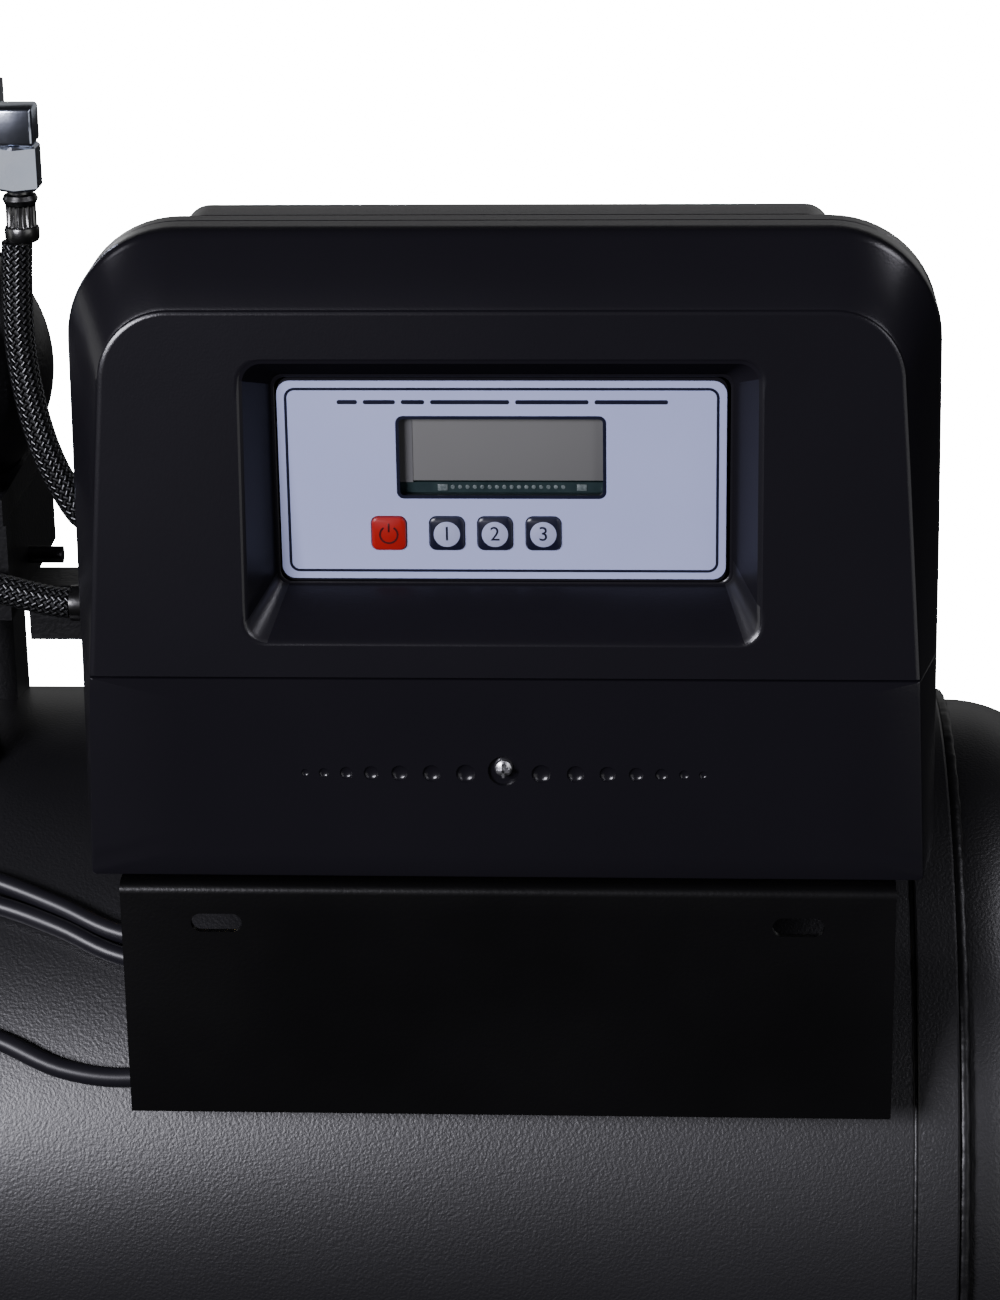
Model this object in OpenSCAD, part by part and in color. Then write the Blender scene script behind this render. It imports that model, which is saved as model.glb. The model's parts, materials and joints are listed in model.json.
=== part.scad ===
// Oil-free air compressor with three electric pumps on one tank and an electronic control box.
// X runs along the tank with the control box at the +X end, the panel faces -Y, and Z is up.
// The origin is on the floor, at the centre of the whole machine.

/* [Tank] */
// Length of the machine from the handle to the tip of the far tank end
overall_l = 1330; // [1320:5:1360]
// Outer radius of the tank
tank_r = 175; // [175:1:176]
// Height of the tank's axis above the floor
tank_z = 262; // [262:1:280]
// Length of the straight tank shell between its weld seams
shell_l = 1098; // [1090:1:1110]
// Depth of each dished tank end
head_d = 88; // [80:1:92]
// Thickness of the tank's steel
tank_t = 3; // [2:0.5:4]

/* [Control box] */
// Distance from the far weld seam back to the middle of the box
box_inset = 163.5; // [160:0.5:170]
// Height of the box
box_h = 224.5; // [220:0.5:226]
// Half width of the box at its back rim, low down
rim_half_w = 151; // [148:0.5:152]
// Half width of the front face at the bottom
face_half_w = 146; // [140:0.5:146]
// Height of the seam between the upper cover and the wiring cover
seam_z = 74.5; // [70:0.5:80]
// Rake of the upper front face, in degrees
face_rake = 5.4; // [0:0.1:6]
// Depth of the front cover, from the foot of the face to the seam with the housing
cover_d = 45; // [45:0.5:50]
// Thickness of the plastic shells
wall = 2.5; // [2:0.1:3]
// Depth of the recess's floor behind the foot of the face
recess_y = 24.6; // [24:0.1:25]
// Size of the square keys
key_w = 12; // [11:0.5:12]
// Travel of a key
key_travel = 1; // [0.5:0.1:1]

/* [Bracket] */
// Half width of the folded front plate
plate_half_w = 136.75; // [130:0.25:140]
// Height of the front plate
plate_h = 90; // [80:1:95]
// Thickness of the folded steel
plate_t = 2.5; // [2:0.5:3]

/* [Pumps] */
// Distance between neighbouring pumps
pump_pitch = 250; // [250:1:255]
// Radius of the domed fan covers
dome_r = 55; // [52:0.5:55]
// Cylinder bore radius
bore_r = 19; // [17:0.5:19]

/* [Wheels] */
// Wheel radius over the tyre
wheel_r = 75; // [70:1:75]
// Wheel width
wheel_w = 28; // [24:1:30]
// Axle radius
axle_r = 8; // [7:0.5:9]

/* [Hidden] */
$fn = 64;

// Places along the tank
x_end = overall_l / 2;
weld_r = x_end - head_d;
weld_l = weld_r - shell_l;
box_x = weld_r - box_inset;
box_y = -tank_r - 10;
box_z = 187;                      // the box stands this far above the tank's axis
pump_z = 320.5;                   // height of the pump shafts above the tank's axis
pump_x0 = box_x - 304;            // middle of pump 3, the one beside the box
run = 0.05;                       // radial clearance of running fits

// Control box sections
rake_t = tan(face_rake);
face_top_z = 201;
rim_y = 30;                       // the rim outline is straight from here back to the seam
rim_top_half_w = 149;
housing_d = 9;                    // depth of the housing's wide flange
body_half_w = 112;
body_d = 98;                      // back of the narrow housing body
gap = 0.3;                        // seams between the plastic shells
label_w = 153.5;
label_h = 71;
label_z = 138.3;
window_w = 70.5;
window_h = 28;
window_x = -0.6;
window_z = 146.6;
key_xs = [-39.7, -19.6, -3, 13.7];
key_z = 119.3;
screw_z = 41.4;
dimple_z = 39.4;

// Pump sections, from the middle of each pump
motor_l = 84;
motor_r = 45;
case_l = 42;
case_r = 54;
foot_z = -49;                     // flat underside of the pump, from its shaft
foot_t = 10.5;
foot_half_l = 107;
foot_half_w = 50;
cyl_u = 63;                       // cylinder axis from the middle of the pump
cyl_top = 88;
head_h = 24;
dome_u = 65;                      // centre of the fan cover's dome
elbow_u = 118.5;
elbow_y = -35;
ferrule_r = 6.4;
hose_r = 5.8;

// Cradle, isolators and legs, heights from the tank's axis
cradle_top = pump_z + foot_z;
cradle_h = 38;
cradle_half_l = 108;
isolator_z = cradle_top - 49;
mount_u = 81;
mount_y = 33;
screw_u = 98;
screw_y = 41;

// Routes, from the tank's axis upwards in Z
hose_3_route = [[225.8, -35, 378.6], [224.8, -35, 362.5], [224.5, -35, 340.4], [227, -35, 317.6],
    [231.6, -35, 298.1], [237.5, -35.5, 284], [244, -36.5, 273], [250.6, -37, 267.5], [251, -37, 263.6]];
hose_2_route = [[-22, -35, 378.6], [-22, -35, 352], [-20, -42, 322], [-15, -52, 300], [-6, -60, 282],
    [15, -64, 265], [50, -66, 254], [100, -67, 252], [150, -67, 254], [190, -64, 254],
    [214, -62, 251], [226, -62, 248], [236, -62, 245.6], [242.6, -62, 245]];
hose_1_route = [[-272, -35, 378.6], [-272.3, -35, 362.5], [-271, -38, 340], [-267.5, -45, 316],
    [-264.5, -53, 298], [-262.8, -60, 283], [-262, -64, 262], [-262, -66, 240], [-262, -66, 224],
    [-262, -66, 214.6]];
lead_3_route = [[109.5, -46, 306], [110, -62, 305], [113, -76, 292], [121, -82, 262], [135, -82, 222],
    [156, -85, 176], [186, -94, 153], [217, -103, 147], [241, -111, 141], [265, -119.5, 134],
    [296, -123, 131], [322, -120, 134.5], [336, -117, 143], [342, -115, 155], [343, -115, 165]];
lead_2_route = [[-140.5, -46, 306], [-140, -60, 303], [-136, -72, 290], [-120, -76, 262],
    [-90, -80, 215], [-45, -85, 170], [10, -90, 155.3], [80, -96, 151.7], [150, -101, 148.4],
    [190, -106, 144.8], [218, -111, 141], [242, -118, 135.3], [266, -126, 127.8], [300, -130, 124],
    [334, -126, 128], [352, -119, 138], [362, -115.5, 153], [364, -115, 165]];
lead_1_route = [[-390.5, -46, 306], [-390, -60, 303], [-386, -72, 290], [-370, -78, 262],
    [-335, -86, 212], [-290, -98, 158], [-220, -110, 141.8], [-120, -119, 134.2], [-20, -127, 126.7],
    [80, -134, 119.3], [160, -139.5, 112.8], [200, -143.5, 107.6], [222, -147, 102.6],
    [246, -152.5, 94], [272, -154, 91.5], [304, -151, 96.2], [340, -143, 108],
    [366, -130, 125], [381, -119, 145], [385, -115.5, 156], [385, -115, 165]];
lead_r = 3.7;

// ---------------------------------------------------------------- helpers

module along_x(x0, x1, r) {
    translate([x0, 0, 0]) rotate([0, 90, 0]) cylinder(h = x1 - x0, r = r);
}
module along_y(y0, y1, r) {
    translate([0, y0, 0]) rotate([-90, 0, 0]) cylinder(h = y1 - y0, r = r);
}
module up(z0, z1, r) {
    translate([0, 0, z0]) cylinder(h = z1 - z0, r = r);
}
module slab(x0, x1, y0, y1, z0, z1) {
    translate([x0, y0, z0]) cube([x1 - x0, y1 - y0, z1 - z0]);
}
module rounded(w, h, r) {
    square([w - 2 * r, h], center = true);
    square([w, h - 2 * r], center = true);
    for (x = [-1, 1], z = [-1, 1])
        translate([x * (w / 2 - r), z * (h / 2 - r)]) circle(r = r, $fn = 24);
}
// An upright outline drawn in X and Z, and extruded from y0 back to y1
module upright(y0, y1) {
    translate([0, y1, 0]) rotate([90, 0, 0]) linear_extrude(y1 - y0) children();
}
module hex(z0, z1, across) {
    translate([0, 0, z0]) cylinder(h = z1 - z0, r = across / sqrt(3), $fn = 6);
}
module at_tank() { translate([0, 0, tank_z]) children(); }
module at_box() { translate([box_x, box_y, tank_z + box_z]) children(); }
module at_pump(i) { translate([pump_x0 - (3 - i) * pump_pitch, 0, tank_z + pump_z]) children(); }
module both_ends() {
    children();
    mirror([1, 0, 0]) children();
}

// Tube swept along a route
function unit(v) = v / norm(v);
function catmull(a, b, c, d, t) = 0.5 * (2 * b + (c - a) * t + (2 * a - 5 * b + 4 * c - d) * t * t
    + (3 * b - a - 3 * c + d) * t * t * t);
function smooth(p, steps) = [for (i = [0 : len(p) - 2], k = [0 : steps - 1])
    catmull(i == 0 ? 2 * p[0] - p[1] : p[i - 1], p[i], p[i + 1],
        i + 2 < len(p) ? p[i + 2] : 2 * p[i + 1] - p[i], k / steps), p[len(p) - 1]];
function heading(p, i) = unit(i == 0 ? p[1] - p[0]
    : i == len(p) - 1 ? p[i] - p[i - 1] : p[i + 1] - p[i - 1]);
function level(d) = abs(d.z) > 0.9 ? [1, 0, 0] : [0, 0, 1];
function ring(c, d, ref, r, n) = let (s = unit(cross(d, ref)), t = cross(s, d))
    [for (k = [0 : n - 1]) c + r * (cos(k * 360 / n) * s + sin(k * 360 / n) * t)];
function carried(p, i) = i == 0 ? level(heading(p, 0))
    : let (r = carried(p, i - 1), d = heading(p, i)) unit(r - (r * d) * d);
module tube(route, r, steps, n = 8) {
    p = smooth(route, steps);
    count = len(p);
    points = [for (i = [0 : count - 1]) each ring(p[i], heading(p, i), carried(p, i), r, n)];
    sides = [for (i = [0 : count - 2], k = [0 : n - 1])
        [i * n + k, i * n + (k + 1) % n, (i + 1) * n + (k + 1) % n, (i + 1) * n + k]];
    first = [for (k = [n - 1 : -1 : 0]) k];
    last = [for (k = [0 : n - 1]) (count - 1) * n + k];
    polyhedron(points = points, faces = concat([first], sides, [last]));
}

// ---------------------------------------------------------------- control box

// Half width of the box's rim and of its raked face, at height z
function rim_w(z) = rim_half_w - (rim_half_w - rim_top_half_w) * z / box_h;
module rim_corners(in = 0) {
    r = 36;
    for (s = [-1, 1]) {
        translate([s * (rim_top_half_w - r), box_h - r]) circle(r = r - in, $fn = 48);
        translate([s * (rim_half_w - 4), 4]) circle(r = 4 - min(in, 3.5), $fn = 24);
    }
    translate([-rim_half_w + 4, in]) square([2 * rim_half_w - 8, 1]);
}
module face_corners(z0, z1, w0, w1, r, in = 0) {
    for (s = [-1, 1]) {
        translate([s * (w0 - in) - (s > 0 ? 1 : 0), z0 + in]) square([1, 1]);
        translate([s * (w1 - r), z1 - r]) circle(r = r - in, $fn = 48);
    }
}
module box_form(in = 0) {
    hull() {
        upright(rim_y, cover_d + (in > 0 ? 1 : 0)) rim_corners(in);
        upright(in, in + 0.5) face_corners(0, seam_z, face_half_w, 143, 1 + in, in);
        translate([0, 0, seam_z]) rotate([-face_rake, 0, 0]) translate([0, 0, -seam_z])
            upright(in, in + 0.5) face_corners(seam_z, face_top_z + 0.5, 143, 135, 24, in);
    }
}
module recess(in = 0) {
    floor_y = recess_y + in;
    hull() {
        upright(floor_y, floor_y + 0.01) translate([0, label_z]) rounded(157 + 2 * in, 75 + 2 * in, 3);
        translate([0, 0, seam_z]) rotate([-face_rake, 0, 0])
            upright(-0.5, 0) translate([0, 61.4]) rounded(175.5 + 2 * in, 97.5 + 2 * in, 5);
    }
}
module key_holes(half, y0, y1) {
    for (x = key_xs) slab(x - half, x + half, y0, y1, key_z - half, key_z + half);
}
module window_hole(y0, y1) {
    slab(window_x - window_w / 2, window_x + window_w / 2, y0, y1,
        window_z - window_h / 2, window_z + window_h / 2);
}
module front_cover() {
    color("#15151a") at_box() difference() {
        union() {
            difference() {
                box_form();
                box_form(wall);
            }
            intersection() {
                box_form();
                recess(wall);
            }
        }
        recess();
        slab(-200, 200, -5, 60, -5, seam_z + gap / 2);
        key_holes(key_w / 2 + 0.4, recess_y - 5, recess_y + 9);
        window_hole(recess_y - 5, recess_y + 9);
    }
}
function dimple_x(i) = 13.1 + i * 11.9 - 1.06 * i * (i - 1) / 2;
function dimple_r(i) = (7.1 - 0.72 * i) / 2;
module wiring_cover() {
    color("#15151a") at_box() difference() {
        box_form();
        box_form(wall);
        slab(-200, 200, -5, 60, seam_z - gap / 2, 300);
        translate([0, 0, screw_z]) along_y(-1, 10, 2.1);
        for (s = [-1, 1], i = [0 : 6])
            translate([s * dimple_x(i), 0, dimple_z]) along_y(-1, 1, dimple_r(i));
    }
    color("#15151a") at_box() translate([0, 0, screw_z]) difference() {
        along_y(wall, 12, 5);
        along_y(wall - 1, 13, 2.1);
    }
}
module body_outline(in = 0) {
    polygon([[54 + in, 4 + in], [body_d - in, 4 + in], [body_d - in, 196 - in],
        [body_d - 26 - in / 2, box_h - in], [54 + in, box_h - in]]);
}
module body_form(in = 0) {
    half = body_half_w - in;
    translate([-half, 0, 0]) rotate([90, 0, 90]) linear_extrude(2 * half) body_outline(in);
}
module rear_housing() {
    y0 = cover_d + gap;
    y1 = cover_d + housing_d;
    color("#17171c") at_box() difference() {
        union() {
            difference() {
                upright(y0, y1) hull() rim_corners();
                upright(y0 - 1, y1 - wall) hull() rim_corners(wall);
            }
            body_form();
        }
        translate([-body_half_w + wall, 0, 0]) rotate([90, 0, 90]) linear_extrude(2 * (body_half_w - wall))
            polygon([[y0, 4 + wall], [body_d - wall, 4 + wall], [body_d - wall, 196 - wall],
                [body_d - 27, box_h - wall], [y0, box_h - wall]]);
        for (x = gland_xs) translate([x, gland_y, 0]) up(-1, 10, 6.1);
        translate([0, gland_y, mains_z]) along_x(body_half_w - 5, body_half_w + 5, 6.1);
    }
}
module panel_label() {
    color("#aab0cc") at_box() difference() {
        upright(recess_y - 0.6, recess_y) translate([0, label_z]) rounded(label_w, label_h, 4.6);
        key_holes(key_w / 2 + 0.25, 0, 60);
        window_hole(0, 60);
    }
}
module display_module() {
    y0 = recess_y + 3.2;
    color("#1f5a52") at_box() translate([window_x, 0, window_z]) {
        slab(-40, 40, y0 + 3.4, y0 + 5, -19, 17);
    }
    color("#77796f") at_box() translate([window_x, 0, window_z])
        slab(-34.5, 37, y0, y0 + 3.4, -9.5, 15.5);
}
module key(x, shade) {
    y0 = recess_y;
    color(shade) at_box() translate([x, 0, key_z]) {
        upright(y0 - 1.9, y0 + 3) rounded(key_w, key_w, 2.4);
        upright(y0 + 3, y0 + 4) square(key_w + 3, center = true);
    }
}
module cover_screw() {
    color("silver") at_box() translate([0, 0, screw_z]) difference() {
        union() {
            along_y(-2.4, 0, 3.3);
            along_y(0, 20, 1.9);
        }
        for (a = [0, 90]) rotate([0, a, 0]) slab(-2.1, 2.1, -3, -1.2, -0.4, 0.4);
    }
}
module control_board() {
    color("#1c6a40") at_box() {
        slab(-100, 100, 88, 89.6, 60, 190);
        for (x = [-90, 90], z = [70, 180]) translate([x, 0, z]) along_y(89.6, body_d - wall, 4);
    }
    switch_y = recess_y + 4 + key_travel + 0.4;
    color("#1c6a40") at_box() slab(-60, 40, switch_y + 4, switch_y + 5.6, 105, 125);
    color("#222222") at_box() for (x = key_xs)
        slab(x - 3, x + 3, switch_y, switch_y + 4, key_z - 3, key_z + 3);
}
module power_relays() {
    color("#2b55a0") at_box() for (x = [-66, -22, 22]) slab(x, x + 28, 60, 88, 130, 158);
    color("#2f7d3a") at_box() for (x = [-80 : 20 : 60]) slab(x, x + 16, 72, 88, 68, 84);
}
gland_xs = [-70.5, -49.5, -28.5];
gland_y = 70;
mains_z = 40;                     // mains entry in the housing's side wall
module gland() {
    up(-22, 4, 9);
    up(4, 14, 6);
    up(7.2, 12, 9);
}
module cable_glands() {
    color("#101012") at_box() {
        for (x = gland_xs) translate([x, gland_y, 0]) gland();
        translate([body_half_w + 4, gland_y, mains_z]) rotate([0, -90, 0]) difference() {
            gland();
            up(-23, 15, 3.5);
        }
    }
}
module control_bracket() {
    top = -4;
    r = 4;
    color("#0d0d0f") at_box() {
        difference() {
            union() {
                slab(-plate_half_w, plate_half_w, 2, 2 + plate_t, top - plate_h, top - r);
                slab(-plate_half_w, plate_half_w, 2 + r, 96, top - plate_t, top);
                intersection() {
                    translate([0, 2 + r, top - r]) along_x(-plate_half_w, plate_half_w, r);
                    slab(-200, 200, 0, 2 + r, top - r, top + 1);
                }
                for (s = [-1, 1]) {
                    translate([s * 110, 24, 0]) up(top - 1, 0, 7);
                    translate([s * 98, 82, 0]) up(top - 1, 4, 7);
                }
            }
            translate([0, 2 + r, top - r]) along_x(-200, 200, r - plate_t);
            for (s = [-1, 1]) plate_slot(s * 102.8, -19);
            slab(-84, -15, 56, 84, -20, 0);
        }
    }
    color("#0d0d0f") difference() {
        at_box() {
            slab(-125, -121, 74, 92, -80, top - plate_t);
            slab(121, 125, 74, 92, -80, top - plate_t);
            slab(14, 18, 30, 92, -90, top - plate_t);
        }
        at_tank() along_x(0, x_end, tank_r);
    }
}
module plate_slot(x, z) {
    translate([x, 0, z]) {
        slab(-5.6, 5.6, 1, 6, -3.5, 3.5);
        for (s = [-1, 1]) translate([s * 5.6, 0, 0]) along_y(1, 6, 3.5);
    }
}

// ---------------------------------------------------------------- tank

bungs = [[280, -37], [box_x + 30, 20], [-262, -66]];
function surface_z(y) = sqrt(tank_r * tank_r - y * y);
module tank_shell() {
    color("#0b0b0d") at_tank() difference() {
        union() {
            along_x(weld_l, weld_r, tank_r);
            for (b = bungs) translate([b.x, b.y, 0]) up(surface_z(b.y) - 8, surface_z(b.y) + 5, 13);
            up(-tank_r - 6, -tank_r + 5, 12);
        }
        along_x(weld_l - 1, weld_r + 1, tank_r - tank_t);
        for (b = bungs) translate([b.x, b.y, 0]) up(100, 200, 6);
        up(-tank_r - 7, -tank_r + 10, 5);
    }
}
function dish(r, d, n = 14) = [for (k = [0 : n]) [r * cos(90 * k / n), d * sin(90 * k / n)]];
module dish_solid(r, d) {
    rotate([0, 90, 0]) rotate_extrude() polygon(concat([[0, 0]], dish(r, d)));
}
module tank_head() {
    difference() {
        union() {
            rotate([0, 90, 0]) rotate_extrude() polygon(concat(dish(tank_r, head_d),
                [for (k = [14 : -1 : 0]) dish(tank_r - tank_t, head_d - tank_t)[k]]));
            along_x(-15, 0, tank_r + 2.5);
            along_x(-1.5, 2.5, tank_r + 3.2);
        }
        along_x(-16, 0, tank_r);
        dish_solid(tank_r - tank_t, head_d - tank_t);
    }
}
module tank_head_right() {
    color("#0b0b0d") at_tank() translate([weld_r, 0, 0]) tank_head();
}
module tank_head_left() {
    color("#0b0b0d") at_tank() translate([weld_l, 0, 0]) mirror([1, 0, 0]) tank_head();
}
module mounts_of_pumps() {
    for (i = [1 : 3], u = [-1, 1], y = [-1, 1])
        translate([pump_x0 - (3 - i) * pump_pitch + u * mount_u, y * mount_y, tank_z]) children();
}
module pump_legs() {
    half = 13;
    color("#0f0f11") difference() {
        mounts_of_pumps() difference() {
            slab(-half, half, -half, half, 150, isolator_z);
            slab(-half + 3, half - 3, -half + 3, half - 3, 149, isolator_z - 3);
            up(150, isolator_z + 1, 4.2);
        }
        at_tank() along_x(weld_l, weld_r, tank_r);
    }
}
feet_x = -410;
wheels_x = 430;
module tank_feet() {
    color("#0f0f11") difference() {
        union() {
            for (s = [-1, 1]) {
                slab(feet_x - 22, feet_x + 22, s * 130 - 2, s * 130 + 2, 34, 200);
                slab(wheels_x - 24, wheels_x + 24, s * 130 - 2, s * 130 + 2, 56, 200);
            }
            slab(feet_x - 22, feet_x + 22, -165, 165, 30, 34);
        }
        at_tank() along_x(weld_l, weld_r, tank_r);
        translate([wheels_x, 0, wheel_r]) along_y(-200, 200, axle_r);
        for (s = [-1, 1]) translate([feet_x, s * 148, 0]) up(20, 40, 4);
    }
}
module rubber_feet() {
    color("#1a1a1a") for (s = [-1, 1]) translate([feet_x, s * 148, 0]) {
        up(0, 30, 17);
        up(30, 44, 4);
    }
}
wheel_y = 174;
module axle() {
    color("silver") translate([wheels_x, 0, wheel_r]) {
        along_y(-188.5, 188.5, axle_r);
        for (s = [-1, 1]) translate([0, s * 141, 0]) difference() {
            along_y(-8, 8, 12);
            along_y(-9, 9, axle_r);
        }
    }
    color("dimgray") translate([wheels_x, 0, wheel_r]) for (s = [-1, 1]) difference() {
        translate([0, s * 189.1, 0]) along_y(-0.9, 0.9, 13);
        along_y(-188.5, 188.5, axle_r);
    }
}
module wheel(s) {
    color("#2a2a2c") translate([wheels_x, s * wheel_y, wheel_r]) difference() {
        union() {
            along_y(-wheel_w / 2 + 2, wheel_w / 2 - 2, 54);
            along_y(-wheel_w / 2, wheel_w / 2, 17);
        }
        for (e = [-1, 1]) translate([0, e * 10, 0]) difference() {
            along_y(-6, 6, 48);
            along_y(-6, 6, 17);
        }
        for (a = [0 : 60 : 300]) rotate([0, a, 0]) translate([32, 0, 0]) along_y(-20, 20, 9);
        along_y(-30, 30, axle_r + run);
    }
}
module tyre(s) {
    w = wheel_w / 2;
    color("#151515") translate([wheels_x, s * wheel_y, wheel_r]) rotate([90, 0, 0])
        rotate_extrude() polygon([[54, -w + 2], [60, -w], [68, -w + 1], [73, -w + 4], [wheel_r, -w + 9],
            [wheel_r, w - 9], [73, w - 4], [68, w - 1], [60, w], [54, w - 2]]);
}
handle_x = -x_end + 14.5;
handle_y = 110;
handle_z = 70;
module handle_bar() {
    r = 11;
    bend = 40;
    color("#101012") difference() {
        translate([0, 0, tank_z + handle_z]) {
            for (s = [-1, 1]) {
                translate([0, s * handle_y, 0]) along_x(handle_x + bend, weld_l - 20, r);
                translate([handle_x + bend, s * (handle_y - bend), 0]) rotate([0, 0, s > 0 ? 90 : 180])
                    rotate_extrude(angle = 90) translate([bend, 0]) circle(r = r);
            }
            translate([handle_x, 0, 0]) along_y(-handle_y + bend, handle_y - bend, r);
        }
        at_tank() translate([weld_l, 0, 0]) mirror([1, 0, 0]) dish_solid(tank_r, head_d);
    }
}
module handle_grip() {
    color("#191919") translate([handle_x, 0, tank_z + handle_z]) difference() {
        union() {
            along_y(-62, 62, 13.7);
            for (y = [-60 : 10 : 60]) translate([0, y, 0]) along_y(-2, 2, 14.5);
        }
        along_y(-70, 70, 11);
    }
}
module drain_valve() {
    color("goldenrod") at_tank() difference() {
        union() {
            up(-tank_r - 14, -tank_r - 6, 10);
            hex(-tank_r - 26, -tank_r - 14, 17);
        }
        up(-tank_r - 30, -tank_r, 4 + run);
    }
}
module drain_knob() {
    color("#b02020") at_tank() {
        up(-tank_r - 28, -tank_r - 10, 4);
        up(-tank_r - 38, -tank_r - 28, 11);
        for (a = [0 : 60 : 300]) rotate([0, 0, a]) translate([11, 0, 0]) up(-tank_r - 38, -tank_r - 28, 1.8);
    }
}

// ---------------------------------------------------------------- air circuit

manifold_y = -37;
manifold_z = 225;
module inlet_manifold() {
    color("#202022") at_tank() difference() {
        union() {
            slab(224, 300, manifold_y - 11, manifold_y + 11, manifold_z, manifold_z + 22);
            slab(252, 264, -69, manifold_y - 11, manifold_z + 13, manifold_z + 27);
            slab(252, 264, manifold_y - 11, manifold_y - 7, manifold_z + 13, manifold_z + 27);
        }
        translate([280, manifold_y, 0]) up(manifold_z - 1, manifold_z + 12, 6);
        translate([0, manifold_y, manifold_z + 12]) along_x(232, 292, 5);
    }
}
module check_valves() {
    color("goldenrod") at_tank() for (b = [bungs[0], bungs[2]]) {
        z0 = surface_z(b.y) + 5;
        z1 = b.y == manifold_y ? manifold_z : 196;
        translate([b.x, b.y, 0]) difference() {
            union() {
                up(z0, z1, 9);
                hex(z0 + 8, z0 + 20, 22);
            }
            up(z0 - 1, z1 + 1, 5);
        }
    }
}
outlet_y = 20;
outlet_z = 195;
outlet_x = box_x + 30;
module outlet_block() {
    color("silver") at_tank() difference() {
        union() {
            translate([outlet_x, outlet_y, 0]) up(surface_z(outlet_y) + 5, outlet_z + 1, 10);
            slab(outlet_x - 36, outlet_x + 34, outlet_y - 11, outlet_y + 11, outlet_z, outlet_z + 22);
        }
        translate([outlet_x, outlet_y, 0]) up(100, outlet_z + 11, 5);
        translate([0, outlet_y, outlet_z + 11]) along_x(outlet_x - 26, outlet_x + 40, 4);
    }
}
gauge_x = outlet_x - 20;
gauge_z = outlet_z + 11;
module pressure_gauge() {
    color("#222222") at_tank() translate([gauge_x, 0, gauge_z]) difference() {
        union() {
            along_y(outlet_y + 11, outlet_y + 18, 6);
            along_y(outlet_y + 18, outlet_y + 38, 21);
        }
        along_y(outlet_y + 30, outlet_y + 40, 18.5);
        along_y(outlet_y + 26, outlet_y + 40, 1 + run);
    }
}
module gauge_needle() {
    color("#c02020") at_tank() translate([gauge_x, 0, gauge_z]) {
        along_y(outlet_y + 27, outlet_y + 33, 1);
        along_y(outlet_y + 31, outlet_y + 32.5, 3);
        rotate([0, -45, 0]) slab(-0.6, 0.6, outlet_y + 31, outlet_y + 31.8, -15, 5);
    }
}
module safety_valve() {
    color("goldenrod") at_tank() translate([outlet_x + 8, outlet_y, outlet_z + 22]) difference() {
        union() {
            hex(0, 9, 17);
            up(9, 30, 7);
        }
        up(12, 31, 2 + run);
    }
}
module safety_ring() {
    color("silver") at_tank() translate([outlet_x + 8, outlet_y, outlet_z + 22]) {
        up(14, 36, 2);
        translate([0, 0, 44]) rotate([90, 0, 0]) rotate_extrude() translate([9, 0]) circle(r = 1.2, $fn = 24);
    }
}
valve_x = outlet_x + 34;
module outlet_valve() {
    color("silver") at_tank() translate([valve_x, outlet_y, outlet_z + 11]) difference() {
        union() {
            along_x(0, 44, 9);
            along_x(10, 34, 12);
            translate([22, 0, 0]) up(0, 16, 6);
            along_x(44, 60, 9.5);
        }
        along_x(-1, 70, 4);
        along_x(46, 70, 5.7);
        translate([22, 0, 0]) sphere(r = 8 + run);
        translate([22, 0, 0]) up(0, 20, 3 + run);
    }
}
module outlet_lever() {
    color("#b02020") at_tank() translate([valve_x + 22, outlet_y, outlet_z + 11]) {
        difference() {
            union() {
                sphere(r = 8);
                up(0, 22, 3);
            }
            along_x(-10, 10, 4);
        }
        difference() {
            translate([0, 0, 17]) slab(-7, 58, -6, 6, 0, 3);
            up(10, 30, 3);
        }
        slab(0, 2.9, -2, 2, 17, 20);
    }
}

// ---------------------------------------------------------------- pumps

module motor(i) {
    color("#141416") at_pump(i) difference() {
        union() {
            along_x(-motor_l / 2, motor_l / 2, motor_r);
            slab(-16, 16, -motor_r - 1, -30, -22, 2);
        }
        along_x(-motor_l / 2 - 1, motor_l / 2 + 1, 33);
    }
}
module crankcases(i) {
    u0 = motor_l / 2;
    u1 = u0 + case_l;
    color("#17171a") at_pump(i) both_ends() difference() {
        union() {
            intersection() {
                along_x(u0, u1, case_r);
                slab(0, 200, -100, 100, foot_z, 100);
            }
            intersection() {
                translate([cyl_u, 0, 0]) up(0, 56, 33);
                slab(u0, u1, -100, 100, 0, 100);
            }
            translate([cyl_u, 0, 0]) up(52.5, 56, 33);
            slab(u0 + 14, u1, -foot_half_w, foot_half_w, foot_z, foot_z + foot_t);
            difference() {
                slab(u1, foot_half_l, -foot_half_w, foot_half_w, foot_z, foot_z + foot_t);
                translate([dome_u, 0, 0]) sphere(r = dome_r + 0.6);
            }
        }
        along_x(u0 + 8, u1 + 0.1, 42);
        along_x(u0 - 1, u0 + 9, axle_r + run);
        translate([cyl_u, 0, 0]) up(30, 57, bore_r + 0.2);
        for (s = [-1, 1]) translate([screw_u, s * screw_y, 0]) up(-60, 0, 3.1);
    }
}
module each_cylinder() {
    for (i = [1 : 3]) at_pump(i) both_ends() translate([cyl_u, 0, 0]) children();
}
module cylinders() {
    color("silver") each_cylinder() difference() {
        union() {
            up(56, cyl_top, 28);
            for (z = [60 : 6 : 84]) up(z, z + 2.2, 36);
        }
        up(55, cyl_top + 1, bore_r);
    }
}
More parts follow.
